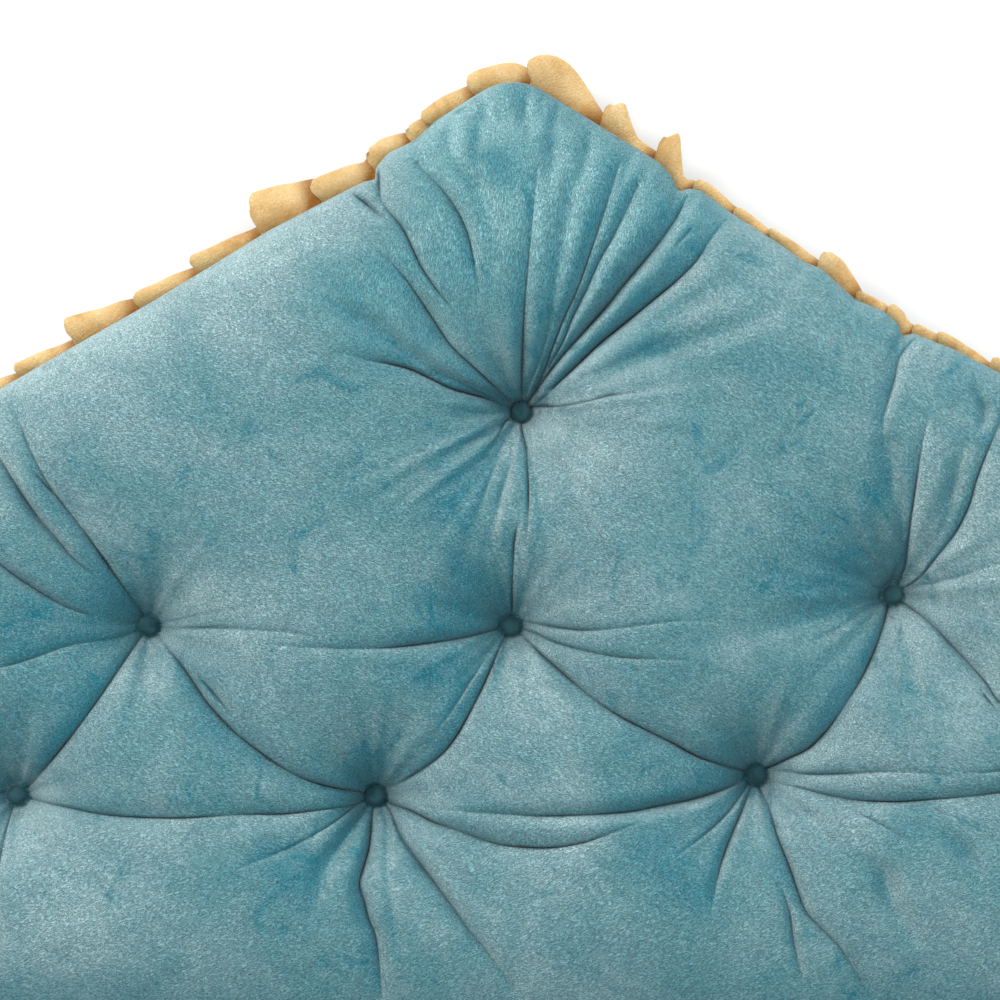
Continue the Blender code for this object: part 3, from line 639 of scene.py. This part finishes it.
def frontPoints(rim, places, normals):
    cloud = Scatter(5.0)
    cloud.chain(rim, True)
    for place in buttonPlaces.values():
        for radius, step, gap in cushionMesh["buttonCircles"]:
            cloud.loose(circlePoints(place, radius, step), gap)
    clear = cushionMesh["creaseFrom"]
    for fold in folds:
        points = foldPath(fold, cushionMesh["creaseStep"])
        points = points[edgeInset(points) > cushionMesh["rimInset"] + 2]
        cloud.openChain(outsideButtons(points, clear), cushionMesh["creaseGap"])
    for offset, gap in cushionMesh["foldRows"]:
        for fold in folds:
            path = foldPath(fold, cushionMesh["creaseStep"] + offset * cushionMesh["rowStretch"])
            for side in (-1, 1):
                points = outsideButtons(sidePoints(path, side * offset), clear)
                cloud.loose(points[edgeInset(points) > cushionMesh["rimInset"] + 1], gap)
    for place in buttonPlaces.values():
        for index, radius in enumerate(cushionMesh["tuftCircles"]):
            step = cushionMesh["tuftStep"][0] + cushionMesh["tuftStep"][1] * radius
            cloud.loose(circlePoints(place, radius, step, index * 0.5), step * cushionMesh["tuftGap"])
    for inset, gap in cushionMesh["loops"]:
        cloud.loose(edgeRing(places, normals, inset, 0)[:, :2], gap * cushionMesh["loopGap"])
    for step, wanted in ((cushionMesh["fine"], True), (cushionMesh["wide"], False)):
        points = hexFill(step)
        points = points[inPicture(points) == wanted]
        cloud.loose(points[edgeInset(points) > cushionMesh["rimInset"] + 3], step * cushionMesh["fillGap"])
    return cloud


def addStrip(maker, lower, upper):
    count = len(lower)
    for i in range(count):
        j = (i + 1) % count
        maker.faces.new((lower[i], lower[j], upper[j], upper[i]))


def addPiece(name, maker, material, scaled=True):
    if scaled:
        bmesh.ops.scale(maker, vec=(mm, mm, mm), verts=maker.verts)
    mesh = bpy.data.meshes.new(name)
    maker.to_mesh(mesh)
    maker.free()
    mesh.materials.append(material)
    mesh.shade_smooth()
    piece = bpy.data.objects.new(name, mesh)
    bpy.context.scene.collection.objects.link(piece)
    return piece


def makeCushion(material):
    places, normals = walkOutline(cushionForm["fineStep"], cushionForm["wideStep"])
    maker = bmesh.new()
    # Painted shade for the folds' flanks and bottoms
    paintedFoldShade = maker.verts.layers.float.new("paintedFoldShade")
    # Painted shade for the narrow creases and the rings round the buttons
    paintedCreaseShade = maker.verts.layers.float.new("paintedCreaseShade")
    rings = []
    for inset, height in edgeSection:
        rings.append([maker.verts.new(p) for p in edgeRing(places, normals, inset, height)])
    for lower, upper in zip(rings, rings[1:]):
        addStrip(maker, lower, upper)
    maker.faces.new(list(reversed(rings[0])))

    rim = edgeRing(places, normals, cushionMesh["rimInset"], 0)[:, :2]
    cloud = frontPoints(rim, places, normals)
    report(f"cushion points {len(cloud.points)}")
    spots, _, faces, sources, _, _ = delaunay_2d_cdt(
        [Vector(p) for p in cloud.points], cloud.edges, [], 1, 0.01)
    xy = np.array([tuple(spot) for spot in spots])
    height, fold, crack = frontSurface(xy)
    report("cushion heights")
    front = []
    for (x, y), z, foldShadeShare, creaseShadeShare in zip(xy, height, fold, crack):
        vert = maker.verts.new((x, y, z))
        vert[paintedFoldShade] = foldShadeShare
        vert[paintedCreaseShade] = creaseShadeShare
        front.append(vert)
    for face in faces:
        maker.faces.new([front[i] for i in face])
    placed = {source: vert for vert, found in zip(front, sources) for source in found}
    addStrip(maker, rings[-1], [placed[i] for i in range(len(places))])
    bmesh.ops.recalc_face_normals(maker, faces=maker.faces)
    cushion = addPiece("plushCushion", maker, material)
    addNapAndPaintedLight(cushion)
    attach(cushion, "root")
    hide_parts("cushion")
    report(f"cushion made, {len(cushion.data.polygons)} faces")


# Patches where the plush is made paler or deeper: each one's middle and reach, and how much paler (or
# deeper) it is
Mark = namedtuple("Mark", "x y across down tone")
marks = [
    Mark(-172, -270, 80, 44, -0.26), Mark(160, -266, 90, 44, -0.30), Mark(352, -255, 80, 44, -0.28),
    Mark(-40, 82, 26, 60, -0.32), Mark(345, -105, 34, 46, -0.32), Mark(-250, -150, 60, 34, -0.20),
    Mark(-338, -112, 44, 52, -0.42), Mark(20, -150, 85, 60, -0.42), Mark(15, 400, 26, 40, -0.35),
    Mark(-313, 215, 110, 60, 0.16), Mark(300, 150, 90, 50, 0.12), Mark(455, -100, 60, 60, 0.25),
    Mark(175, -112, 80, 46, 0.16), Mark(62, 118, 52, 42, -0.24), Mark(250, 205, 130, 46, -0.14),
]


nap = {
    "driftRun": 170.0, "drift": (130.0, 90.0),                # the borders below wander by so much
    "paintedLightWay": (-0.85, 0.45),                                 # painted light: flanks that face this way, toward the key light, are painted pale
    "uprightMiddle": (20.0, 170.0), "uprightRun": (90.0, 130.0), "uprightHalf": 190.0,
    "slantFrom": (40.0, -190.0), "slantRun": (160.0, 120.0),
    "riseBelow": -225.0, "riseRun": 50.0,
}


# The pile is brushed down and to the right; it lies aslant in the pockets at the right, and upright under
# the peak.
# Painted light and shade: flanks that face up and left, toward the key light, are painted paler, and those
# that face down and right deeper, with patches of paler or deeper tone added.
def addNapAndPaintedLight(piece):
    mesh = piece.data
    count = len(mesh.vertices)
    normals = np.zeros(count * 3, np.float32)
    places = np.zeros(count * 3, np.float32)
    mesh.vertex_normals.foreach_get("vector", normals)
    mesh.vertices.foreach_get("co", places)
    normals, places = normals.reshape(-1, 3), places.reshape(-1, 3) / mm
    drift = noiseOf(places / nap["driftRun"])
    x, y = places[:, 0] + nap["drift"][0] * drift, places[:, 1] + nap["drift"][1] * drift
    middle, run = nap["uprightMiddle"], nap["uprightRun"]
    upright = smoothStep((y - middle[1]) / run[1])
    upright *= smoothStep((nap["uprightHalf"] - np.abs(x - middle[0])) / run[0])
    start, run = nap["slantFrom"], nap["slantRun"]
    slant = smoothStep((x - start[0]) / run[0]) * smoothStep((y - start[1]) / run[1])
    rise = smoothStep((nap["riseBelow"] - y) / nap["riseRun"])
    # Painted light and shade: paler on flanks that face the key light, deeper on those that face away
    paintedLightWithPatches = nap["paintedLightWay"][0] * normals[:, 0] + nap["paintedLightWay"][1] * normals[:, 1]
    for mark in marks:
        share = np.exp(-((x - mark.x) / mark.across) ** 2 - ((y - mark.y) / mark.down) ** 2)
        paintedLightWithPatches += mark.tone * (1 + 1.2 * drift) * share
    paintedLightWithPatches = np.clip(paintedLightWithPatches, -1, 1)
    for name, values in (("paintedLightAndPatches", paintedLightWithPatches), ("napUpright", upright), ("napSlant", slant), ("napRise", rise)):
        mesh.attributes.new(name, "FLOAT", "POINT").data.foreach_set("value", values.astype(np.float32))


# Materials
class Nodes:
    def __init__(self, name):
        self.material = bpy.data.materials.new(name)
        self.material.use_nodes = True
        self.tree = self.material.node_tree
        self.shader = self.tree.nodes["Principled BSDF"]
        self.coords = self.tree.nodes.new("ShaderNodeTexCoord").outputs["Object"]

    # Adds a node. Each setting's key is an input, by name or number, or else a property of the
    # node, and an input's value may be the output of another node.
    def add(self, kind, settings, output=0):
        node = self.tree.nodes.new(kind)
        for key, value in settings.items():
            if isinstance(key, str) and key not in node.inputs:
                setattr(node, key, value)
            elif isinstance(value, bpy.types.NodeSocket):
                self.tree.links.new(value, node.inputs[key])
            else:
                node.inputs[key].default_value = value
        return node.outputs[output]

    def noiseAt(self, scale, detail=2.0, roughness=0.5, distortion=0.0, vector=None):
        return self.add("ShaderNodeTexNoise", {"Scale": scale, "Detail": detail, "Roughness": roughness,
                                               "Distortion": distortion, "Vector": vector or self.coords})

    # Noise that is drawn out along one direction
    def strokes(self, length, width, angle, distortion=0.25, detail=1.0):
        vector = self.add("ShaderNodeMapping", {
            "vector_type": "TEXTURE", "Vector": self.coords, "Scale": (length, width, width * 1.6),
            "Rotation": (0.0, 0.0, math.radians(angle))})
        return self.noiseAt(1.0, detail, 0.55, distortion, vector)

    def ramp(self, value, low, high, start=0.0, end=1.0):
        return self.add("ShaderNodeMapRange", {"Value": value, "From Min": low, "From Max": high,
                                               "To Min": start, "To Max": end})

    def math(self, operation, a, b):
        return self.add("ShaderNodeMath", {"operation": operation, 0: a, 1: b})

    def mix(self, share, first, second, blend="MIX"):
        first, second = [(*v, 1.0) if isinstance(v, tuple) else v for v in (first, second)]
        return self.add("ShaderNodeMix", {"data_type": "RGBA", "blend_type": blend,
                                          0: share, 6: first, 7: second}, 2)

    def blend(self, share, first, second):
        return self.add("ShaderNodeMix", {"data_type": "FLOAT", 0: share, 2: first, 3: second})

    # The pile's grain lightens and darkens a colour without changing its hue
    def grained(self, colour, stroke, strokeGrain, fine, fineGrain):
        grain = self.math("MULTIPLY", self.ramp(stroke, 0.0, 1.0, 1 - strokeGrain, 1 + strokeGrain),
                          self.ramp(fine, 0.3, 0.7, 1 - fineGrain, 1 + fineGrain))
        return self.mix(1.0, colour, grain, "MULTIPLY")

    def attribute(self, name):
        return self.add("ShaderNodeAttribute", {"attribute_name": name}, "Fac")

    def bump(self, height, distance, strength, after=None):
        settings = {"Height": height, "Distance": distance, "Strength": strength}
        return self.add("ShaderNodeBump", {**settings, "Normal": after} if after else settings)

    # Every pattern that a look names
    def patterns(self, look):
        parts = {name: self.noiseAt(*values) for name, values in look["noises"].items()}
        for name, values in look.get("strokes", {}).items():
            parts[name] = self.strokes(*values)
        return parts

    def finish(self, colour, parts, look):
        normal = None
        for name, values in look["bumps"].items():
            normal = self.bump(parts[name], *values, normal)
        self.tree.links.new(colour, self.shader.inputs["Base Color"])
        self.tree.links.new(normal, self.shader.inputs["Normal"])
        for key, value in look["surface"].items():
            self.shader.inputs[key].default_value = value
        return self.material


tealPlush = {
    # pale and brushed come in where the tone is high, from the pile's patterns and from painted light on
    # flanks that face the key light
    "pale": (0.490, 0.695, 0.725),
    "brushed": (0.316, 0.484, 0.506),
    "flat": (0.156, 0.334, 0.368),
    # As painted shade, deep darkens the folds' flanks that face away from the key light and shadow their
    # bottoms; deep is also the low end of the tone and the colour of the smudges
    "deep": (0.008, 0.200, 0.268),
    "shadow": (0.002, 0.070, 0.100),
    # Painted shade in the narrow creases and the rings round the buttons
    "crease": (0.002, 0.032, 0.043),
    "uprightTint": (0.78, 0.98, 1.0),
    # Scale, detail, roughness, distortion
    "noises": {"patches": (9.0, 3.0, 0.55, 0.7), "smudges": (20.0, 3.0, 0.55, 1.2),
               "fine": (900.0, 1.0, 0.7, 0.4)},
    # Length, width, angle, distortion, detail
    "strokes": {"flecks": (0.024, 0.009, -35.0, 1.0, 2.0), "streaks": (0.060, 0.020, -30.0, 0.6, 3.0),
                "pile": (0.0037, 0.00078, -17.0)},
    "turnedPile": {"napSlant": (0.0037, 0.00078, -32.0), "napRise": (0.0037, 0.00078, 22.0),
                   "napUpright": (0.00518, 0.00078, 84.0)},
    # What each pattern adds to the tone: the range that is read from it, and the tone at its ends
    "tones": {"patches": (0.3, 0.7, -0.40, 0.34), "streaks": (0.3, 0.7, -0.12, 0.12),
              "smudges": (0.61, 0.72, 0.0, -0.50), "flecks": (0.61, 0.74, 0.0, -0.38),
              "pile": (0.0, 1.0, -0.10, 0.10), "fine": (0.3, 0.7, -0.30, 0.30)},
    "paintedLightToneScale": 1.18,
    # The range of tones over which each colour comes in
    "steps": {"brushed": (0.0, 0.8), "pale": (0.6, 1.5), "deep": (0.0, -1.1)},
    "pileGrain": 0.26, "fineGrain": 0.20,
    # Distance and strength
    "bumps": {"pile": (0.0011, 0.9), "fine": (0.0010, 0.9), "streaks": (0.006, 0.25)},
    "surface": {"Roughness": 0.82, "Specular IOR Level": 0.15, "Sheen Weight": 0.38, "Sheen Roughness": 0.40,
                "Sheen Tint": (0.84, 0.90, 0.90, 1.0)},
}


def makeTealPlush():
    look = tealPlush
    nodes = Nodes("tealPlush")
    parts = nodes.patterns(look)
    pile = parts["pile"]
    for share, values in look["turnedPile"].items():
        pile = nodes.blend(nodes.attribute(share), pile, nodes.strokes(*values))
    parts["pile"] = nodes.ramp(pile, 0.37, 0.63)
    # fold and crack carry painted shade: the folds' flanks and bottoms, and the narrow creases and the rings
    # round the buttons
    paintedLightWithPatches, fold, crack = [nodes.attribute(name) for name in ("paintedLightAndPatches", "paintedFoldShade", "paintedCreaseShade")]
    # Painted light and shade: the tone starts paler on flanks that face the key light and deeper on those
    # that face away
    tone = nodes.math("MULTIPLY", paintedLightWithPatches, look["paintedLightToneScale"])
    for name, values in look["tones"].items():
        tone = nodes.math("ADD", tone, nodes.ramp(parts[name], *values))
    colour = look["flat"]
    for name, values in look["steps"].items():
        colour = nodes.mix(nodes.ramp(tone, *values), colour, look[name])
    colour = nodes.mix(nodes.attribute("napUpright"), colour, look["uprightTint"], "MULTIPLY")
    # Painted shade: a fold is painted darkest on the flank that faces down and right, away from the key
    # light, and at its bottom
    shaded = nodes.math("MULTIPLY", fold, nodes.ramp(paintedLightWithPatches, 0.25, -0.35, 0.25, 0.85))
    bottom = nodes.math("MULTIPLY", shaded, nodes.ramp(fold, 0.35, 1.0, 0.0, 0.60))
    colour = nodes.mix(shaded, colour, look["deep"])
    colour = nodes.mix(bottom, colour, look["shadow"])
    colour = nodes.mix(nodes.ramp(parts["smudges"], 0.66, 0.76, 0.0, 0.40), colour, look["deep"])
    # Painted shade: the narrow creases and the rings round the buttons darkened
    colour = nodes.mix(crack, colour, look["crease"])
    colour = nodes.grained(colour, parts["pile"], look["pileGrain"], parts["fine"], look["fineGrain"])
    return nodes.finish(colour, parts, look)


goldenPlush = {
    "pale": (0.860, 0.620, 0.315),
    "flat": (0.690, 0.425, 0.165),
    "shade": (0.500, 0.255, 0.070),
    "deep": (0.300, 0.120, 0.022),
    "noises": {"patches": (28.0, 3.0, 0.55, 0.5), "fine": (1100.0, 1.0, 0.7, 0.5)},
    "strokes": {"ribs": (0.0030, 0.0010, 40.0)},
    "ribGrain": 0.09, "fineGrain": 0.08,
    "bumps": {"ribs": (0.0018, 0.8), "fine": (0.0008, 0.7)},
    "surface": {"Roughness": 0.85, "Specular IOR Level": 0.15, "Sheen Weight": 0.22, "Sheen Roughness": 0.4,
                "Sheen Tint": (1.0, 0.90, 0.70, 1.0)},
}


def makeGoldenPlush():
    look = goldenPlush
    nodes = Nodes("goldenPlush")
    parts = nodes.patterns(look)
    colour = nodes.mix(nodes.ramp(parts["patches"], 0.35, 0.7), look["flat"], look["pale"])
    colour = nodes.mix(nodes.ramp(parts["patches"], 0.42, 0.28, 0.0, 0.40), colour, look["shade"])
    colour = nodes.mix(nodes.attribute("pleatShade"), colour, look["deep"])
    ribs = nodes.ramp(parts["ribs"], 0.36, 0.64)
    colour = nodes.grained(colour, ribs, look["ribGrain"], parts["fine"], look["fineGrain"])
    return nodes.finish(colour, parts, look)


buttonPlush = {
    "deep": (0.010, 0.050, 0.060),
    "pale": (0.032, 0.105, 0.120),
    "noises": {"patches": (70.0, 2.0, 0.5, 0.4), "pile": (420.0, 2.0, 0.6, 1.2)},
    "bumps": {"pile": (0.0010, 0.6)},
    "surface": {"Roughness": 0.8, "Specular IOR Level": 0.2, "Sheen Weight": 0.25, "Sheen Roughness": 0.4,
                "Sheen Tint": (0.6, 0.85, 0.9, 1.0)},
}
floorLook = {
    "deep": (0.90, 0.90, 0.90),
    "pale": (0.93, 0.93, 0.93),
    "noises": {"patches": (3.0, 2.0), "grain": (40.0, 2.0)},
    "bumps": {"grain": (0.0005, 0.1)},
    "surface": {"Roughness": 0.9, "Specular IOR Level": 0.1},
}


def makePlain(name, look, low, high):
    nodes = Nodes(name)
    parts = nodes.patterns(look)
    patches = nodes.ramp(parts["patches"], low, high)
    return nodes.finish(nodes.mix(patches, look["deep"], look["pale"]), parts, look)


# Covered buttons: a domed disc with its cloth drawn tight and gathered under the rim
buttonForm = {
    "radius": 9.3,
    "profile": [(0.0, 0.3), (0.72, 0.3), (0.88, 0.7), (0.97, 1.9), (1.0, 3.2), (0.965, 4.6), (0.88, 5.9),
                (0.72, 7.0), (0.5, 7.7), (0.25, 8.0), (0.0, 8.1)],
    "steps": 56,
    "gathers": 13,
    "gatherDepth": 0.018, "gatherHeight": 2.4, "gatherReach": 1.8,
    "unevenness": 0.25, "lean": 0.06,
}


def makeButton(number, place, material):
    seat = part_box(f"button_{number}")[0].z / mm
    maker = bmesh.new()
    verts = [maker.verts.new((r * buttonForm["radius"], 0, z)) for r, z in buttonForm["profile"]]
    edges = [maker.edges.new(pair) for pair in zip(verts, verts[1:])]
    bmesh.ops.spin(maker, geom=verts + edges, cent=(0, 0, 0), axis=(0, 0, 1), angle=2 * math.pi,
                   steps=buttonForm["steps"], use_merge=True)
    bmesh.ops.remove_doubles(maker, verts=maker.verts, dist=0.001)
    bmesh.ops.recalc_face_normals(maker, faces=maker.faces)
    for vert in maker.verts:
        angle = math.atan2(vert.co.y, vert.co.x)
        rim = math.exp(-((vert.co.z - buttonForm["gatherHeight"]) / buttonForm["gatherReach"]) ** 2)
        wave = 1 + math.cos(buttonForm["gathers"] * angle + number)
        vert.co.xy *= 1 - buttonForm["gatherDepth"] * rim * wave
        vert.co.z += buttonForm["unevenness"] * noise.noise(Vector((vert.co.x / 5, vert.co.y / 5, number)))
    lean = buttonForm["lean"] * math.sin(number * 2.1), buttonForm["lean"] * math.cos(number * 1.3)
    for vert in maker.verts:
        vert.co.z += vert.co.x * lean[0] + vert.co.y * lean[1]
    lowest = min(vert.co.z for vert in maker.verts)
    bmesh.ops.translate(maker, vec=(place.x, place.y, seat - lowest + 0.1), verts=maker.verts)
    button = addPiece(f"coveredButton{number}", maker, material)
    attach(button, "root")
    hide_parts(f"button_{number}")


# Ruffle: a doubled strip of plush whose section swings in a leaning wave, so that each pleat lies
# over the one before it. Columns: x is where a pleat's tip lies along the edge, tip and heel how
# far it stands out from the cushion there, hold the share of its length that stays as wide as the
# tip, slant how far the tip is pulled over, lift how far it stands up, and fall the share of its
# length at which it is as narrow as its heel.
Pleat = namedtuple("Pleat", "x tip heel hold slant lift fall", defaults=[0.95])
pleats = [
    Pleat(-471, 15, 5, 0.10, -3, 0.9),
    Pleat(-431, 30, 8, 0.04, -6, 1.1),
    Pleat(-361, 14, 5, 0.20, -3, 0.9),
    Pleat(-307, 16, 7, 0.15, -3, 1.0),
    Pleat(-258, 36, 19, 0.30, -5, 1.3),
    Pleat(-198, 18, 9, 0.35, 0, 1.0),
    Pleat(-142, 15, 8, 0.40, -2, 1.0),
    Pleat(-103, 13, 9, 0.40, -2, 0.8),
    Pleat(-88, 16, 11, 0.50, -2, 1.0),
    Pleat(-55, 20, 10, 0.60, 0, 1.1),
    Pleat(26, 36, 10, 0.36, -2, 1.3, 0.85),
    Pleat(95, 32, 10, 0.22, 1, 1.2, 0.52),
    Pleat(152, 36, 8, 0.20, 2, 1.2, 0.58),
    Pleat(174, 10, 5, 0.35, 0, 0.8),
    Pleat(213, 7, 4, 0.40, 0, 0.7),
    Pleat(242, 8, 4, 0.50, 0, 0.8),
    Pleat(297, 17, 3, 0.35, 1, 1.1),
    Pleat(331, 5, 3, 0.40, 0, 0.7),
    Pleat(358, 8, 1, 0.40, 1, 0.9),
    Pleat(382, 6, 5, 0.40, 0, 0.7),
    Pleat(409, 9, 5, 0.40, 0, 0.8),
]
# Pleats out of the picture repeat these, a pitch apart
plainPleats = [(13, 5, 0.30, 2, 0.9, 0.95), (18, 7, 0.35, 5, 1.0, 0.95), (11, 6, 0.40, 1, 0.8, 0.95)]
ruffleForm = {
    "pitch": 58.0, "swing": 11.0, "lean": 0.26, "rootInset": 6.4, "rootHeight": 50.0,
    "tipPhase": math.radians(53.0), "heelPhase": math.radians(308.0),
    "steps": 30, "thickness": 8.4, "sectionSteps": 10,
    "tipRound": 0.28, "tipDrop": 0.26, "bigTip": 30.0,      # a big tip's rounding, less on smaller ones
    "drawnShare": 0.6,
    "rootHalf": 0.30, "swell": 0.20, "swellRun": 0.7, "roundFrom": 0.62,      # section of the strip
    "crowdedThick": 0.55,      # share of the thickness that pleats keep however closely they lie
    "wobble": 1.3, "wobbleRun": 19.0, "curl": 1.6, "curlRun": 24.0,
    "rootShade": 0.75, "rootShadeRun": 0.6, "underShade": 0.85, "underShadeRun": 0.75,
}


def ruffleWalk():
    places, normals = walkOutline(5.0, 5.0)
    low = cushionForm["base"] + cushionForm["cornerRadius"]
    first = int(np.argmin(np.abs(places[:, 1] - low) + (places[:, 0] > 0) * 1e6))
    order = np.roll(np.arange(len(places)), -first)[::-1]
    places, normals = places[order], normals[order]
    last = int(np.argmin(np.abs(places[:, 1] - low) + (places[:, 0] < 0) * 1e6))
    places, normals = places[:last + 1], normals[:last + 1]
    lengths = np.linalg.norm(np.diff(places, axis=0), axis=1)
    return np.concatenate([[0], np.cumsum(lengths)]), places, normals


# Each row: station of the pleat along the walk, then its other columns. The tip itself lies
# outward from there and leans back, so its station is moved by as much.
def pleatRows(stations, places):
    form = ruffleForm
    top = places[:, 1] > cushionForm["base"] + 2 * cushionForm["cornerRadius"]
    steepest = math.sin(cushionForm["slope"])
    tips = []
    for pleat, follower in zip(pleats, pleats[1:] + pleats[-1:]):
        pitch = max(follower.x - pleat.x, 20) / math.cos(cushionForm["slope"])
        outward = min(max(pleat.x / cushionForm["peakRadius"], -steepest), steepest)
        station = float(np.interp(pleat.x - outward * pleat.tip, places[top, 0], stations[top]))
        leant = form["lean"] * pitch * math.sin(form["tipPhase"]) + pleat.slant + form["thickness"] * 0.4
        tips.append((station + leant, *pleat[1:]))
    first, last = tips[0][0], tips[-1][0]
    before = round(first / form["pitch"])
    after = round((stations[-1] - last) / form["pitch"])
    lead = [((i + 0.4) * first / (before + 0.4), *plainPleats[i % 3]) for i in range(before)]
    spacing = (stations[-1] - last) / (after + 0.4)
    tail = [(last + (i + 1) * spacing, *plainPleats[i % 3]) for i in range(after)]
    return np.array(lead + tips + tail)


# Section of the doubled strip: how far out each point is, and its share of the thickness
def ruffleSection():
    form = ruffleForm
    steps = form["sectionSteps"]
    upper = []
    for i in range(steps + 1):
        out = math.sin(i / steps * math.pi / 2)
        half = form["rootHalf"] + form["swell"] * smoothStep(out / form["swellRun"])
        if out > form["roundFrom"]:
            half *= math.sqrt(max(0.0, 1 - ((out - form["roundFrom"]) / (1 - form["roundFrom"])) ** 2))
        upper.append((out, float(half)))
    return upper + [(out, -half) for out, half in reversed(upper[:-1])]


# How far the strip's edge stands out, at a share of the way from one tip to the next
def pleatReach(row, follower, share):
    form = ruffleForm
    visible = (form["heelPhase"] - form["tipPhase"]) / (2 * math.pi)
    tip, heel, hold, fall = row[1], row[2], row[3], row[6]
    if share > visible:
        back = float(smoothStep((share - visible) / (1 - visible)))
        return heel + (follower[1] * (1 - form["tipDrop"] * follower[1] / form["bigTip"]) - heel) * back
    along = share / visible
    roundRun = min(form["tipRound"] * tip / form["bigTip"], fall / 2)
    rounding = form["tipDrop"] * float(smoothStep(1 - along / roundRun)) * tip / form["bigTip"]
    falling = min(max((along - hold) / (fall - hold), 0.0), 1.0)
    falling = 0.6 * falling + 0.4 * float(smoothStep(falling))
    return tip * (1 - rounding) * (1 - falling) + heel * falling


def makeRuffle(material):
    stations, places, normals = ruffleWalk()
    rows = pleatRows(stations, places)
    section = ruffleSection()
    form = ruffleForm
    maker = bmesh.new()
    shade = maker.verts.layers.float.new("pleatShade")
    loops = []
    drawn = edgeDraw(places, normals) * math.exp(-form["rootInset"] / cushionForm["drawRun"])
    for row, follower in zip(rows, rows[1:]):
        pitch = follower[0] - row[0]
        for step in range(form["steps"]):
            share = step / form["steps"]
            station, slant, lift = (row * (1 - share) + follower * share)[[0, 4, 5]]
            phase = form["tipPhase"] + 2 * math.pi * share
            wave = math.sin(phase)
            stand = pleatReach(row, follower, share)
            nearTip = max(0.0, math.cos(phase - form["tipPhase"])) ** 3
            size = min(1.0, pitch / form["pitch"])
            loop = []
            for out, half in section:
                lean = form["lean"] * pitch * math.sqrt(out)
                swing = form["swing"] * lift * out * size
                slope = np.array([pitch / (2 * math.pi) - lean * math.cos(phase), swing * math.cos(phase)])
                slope = slope / np.linalg.norm(slope)
                thick = half * form["thickness"] * (form["crowdedThick"] + (1 - form["crowdedThick"]) * size)
                at = station - lean * wave - slope[1] * thick - slant * nearTip * out ** 1.5
                at = min(max(at, 0.0), stations[-1])
                rise = swing * wave + slope[0] * thick
                place = np.array([np.interp(at, stations, places[:, k]) for k in (0, 1)])
                normal = np.array([np.interp(at, stations, normals[:, k]) for k in (0, 1)])
                normal = normal / np.linalg.norm(normal)
                drawnHere = float(np.interp(at, stations, drawn))
                root = form["rootInset"] + drawnHere
                wobble = form["wobble"] * noise.noise(Vector((at / form["wobbleRun"], out * 1.5, 3.0)))
                reach = root + stand - drawnHere * form["drawnShare"] + wobble * out
                spot = place + normal * (out * reach - root)
                curl = form["curl"] * out * noise.noise(Vector((at / form["curlRun"], out, 9.0)))
                vert = maker.verts.new((spot[0], spot[1], form["rootHeight"] + rise + curl))
                hidden = 1 - float(smoothStep((math.sin(phase - 0.05) + 1.0) / form["underShadeRun"]))
                atRoot = form["rootShade"] * max(0.0, 1 - out / form["rootShadeRun"])
                vert[shade] = min(1.0, atRoot + form["underShade"] * hidden ** 1.5)
                loop.append(vert)
            loops.append(loop)
    for lower, upper in zip(loops, loops[1:]):
        addStrip(maker, lower, upper)
    maker.faces.new(loops[0])
    maker.faces.new(list(reversed(loops[-1])))
    bmesh.ops.recalc_face_normals(maker, faces=maker.faces)
    middle = len(section) // 2
    pairs = list(zip(loops, loops[1:]))
    rootLength, edgeLength = [mm * sum((upper[i].co - lower[i].co).length for lower, upper in pairs)
                              for i in (0, middle)]
    ruffle = addPiece("pleatedRuffle", maker, material)
    print(f"ruffle's root {rootLength:.2f} m and edge {edgeLength:.2f} m long")
    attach(ruffle, "root")
    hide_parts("ruffle")
    report("ruffle made")


def makeFloor():
    maker = bmesh.new()
    bmesh.ops.create_grid(maker, x_segments=2, y_segments=2, size=9.0)
    floor = addPiece("paleFloor", maker, makePlain("paleFloor", floorLook, 0.0, 1.0), scaled=False)


worldStrength = 0.58
lights = [
    # name, place, size, watts
    ("keyFromLeft", (-1.9, 1.5, 2.0), 1.9, 63.0),
    ("fillFromRight", (2.1, 1.6, 1.5), 2.4, 46.0),
    ("fillFromTop", (0.2, 0.3, 3.2), 2.6, 20.0),
]


def makeLights():
    aim = Vector((picture["x"] * mm, picture["y"] * mm, picture["height"] * mm))
    for name, place, size, watts in lights:
        lamp = bpy.data.lights.new(name, "AREA")
        lamp.size = size
        lamp.energy = watts
        holder = bpy.data.objects.new(name, lamp)
        holder.location = place
        holder.rotation_euler = (aim - Vector(place)).to_track_quat("-Z", "Y").to_euler()
        bpy.context.scene.collection.objects.link(holder)
    world = bpy.data.worlds.new("softStudio")
    world.use_nodes = True
    world.node_tree.nodes["Background"].inputs["Color"].default_value = (1.0, 1.0, 1.0, 1.0)
    world.node_tree.nodes["Background"].inputs["Strength"].default_value = worldStrength
    bpy.context.scene.world = world


def makeCamera():
    lens = bpy.data.cameras.new("photoCamera")
    lens.lens = picture["lens"]
    lens.sensor_width = picture["sensor"]
    lens.clip_end = 50.0
    camera = bpy.data.objects.new("photoCamera", lens)
    distance = picture["width"] * mm * picture["lens"] / picture["sensor"]
    camera.location = (picture["x"] * mm, picture["y"] * mm, picture["height"] * mm + distance)
    bpy.context.scene.collection.objects.link(camera)
    bpy.context.scene.camera = camera


makeCushion(makeTealPlush())
buttonMaterial = makePlain("buttonPlush", buttonPlush, 0.3, 0.7)
for number, place in enumerate(buttonPlaces.values(), start=1):
    makeButton(number, place, buttonMaterial)
makeRuffle(makeGoldenPlush())
makeFloor()
makeLights()
makeCamera()
bpy.context.scene.view_settings.view_transform = "Standard"

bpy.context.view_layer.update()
report("done")
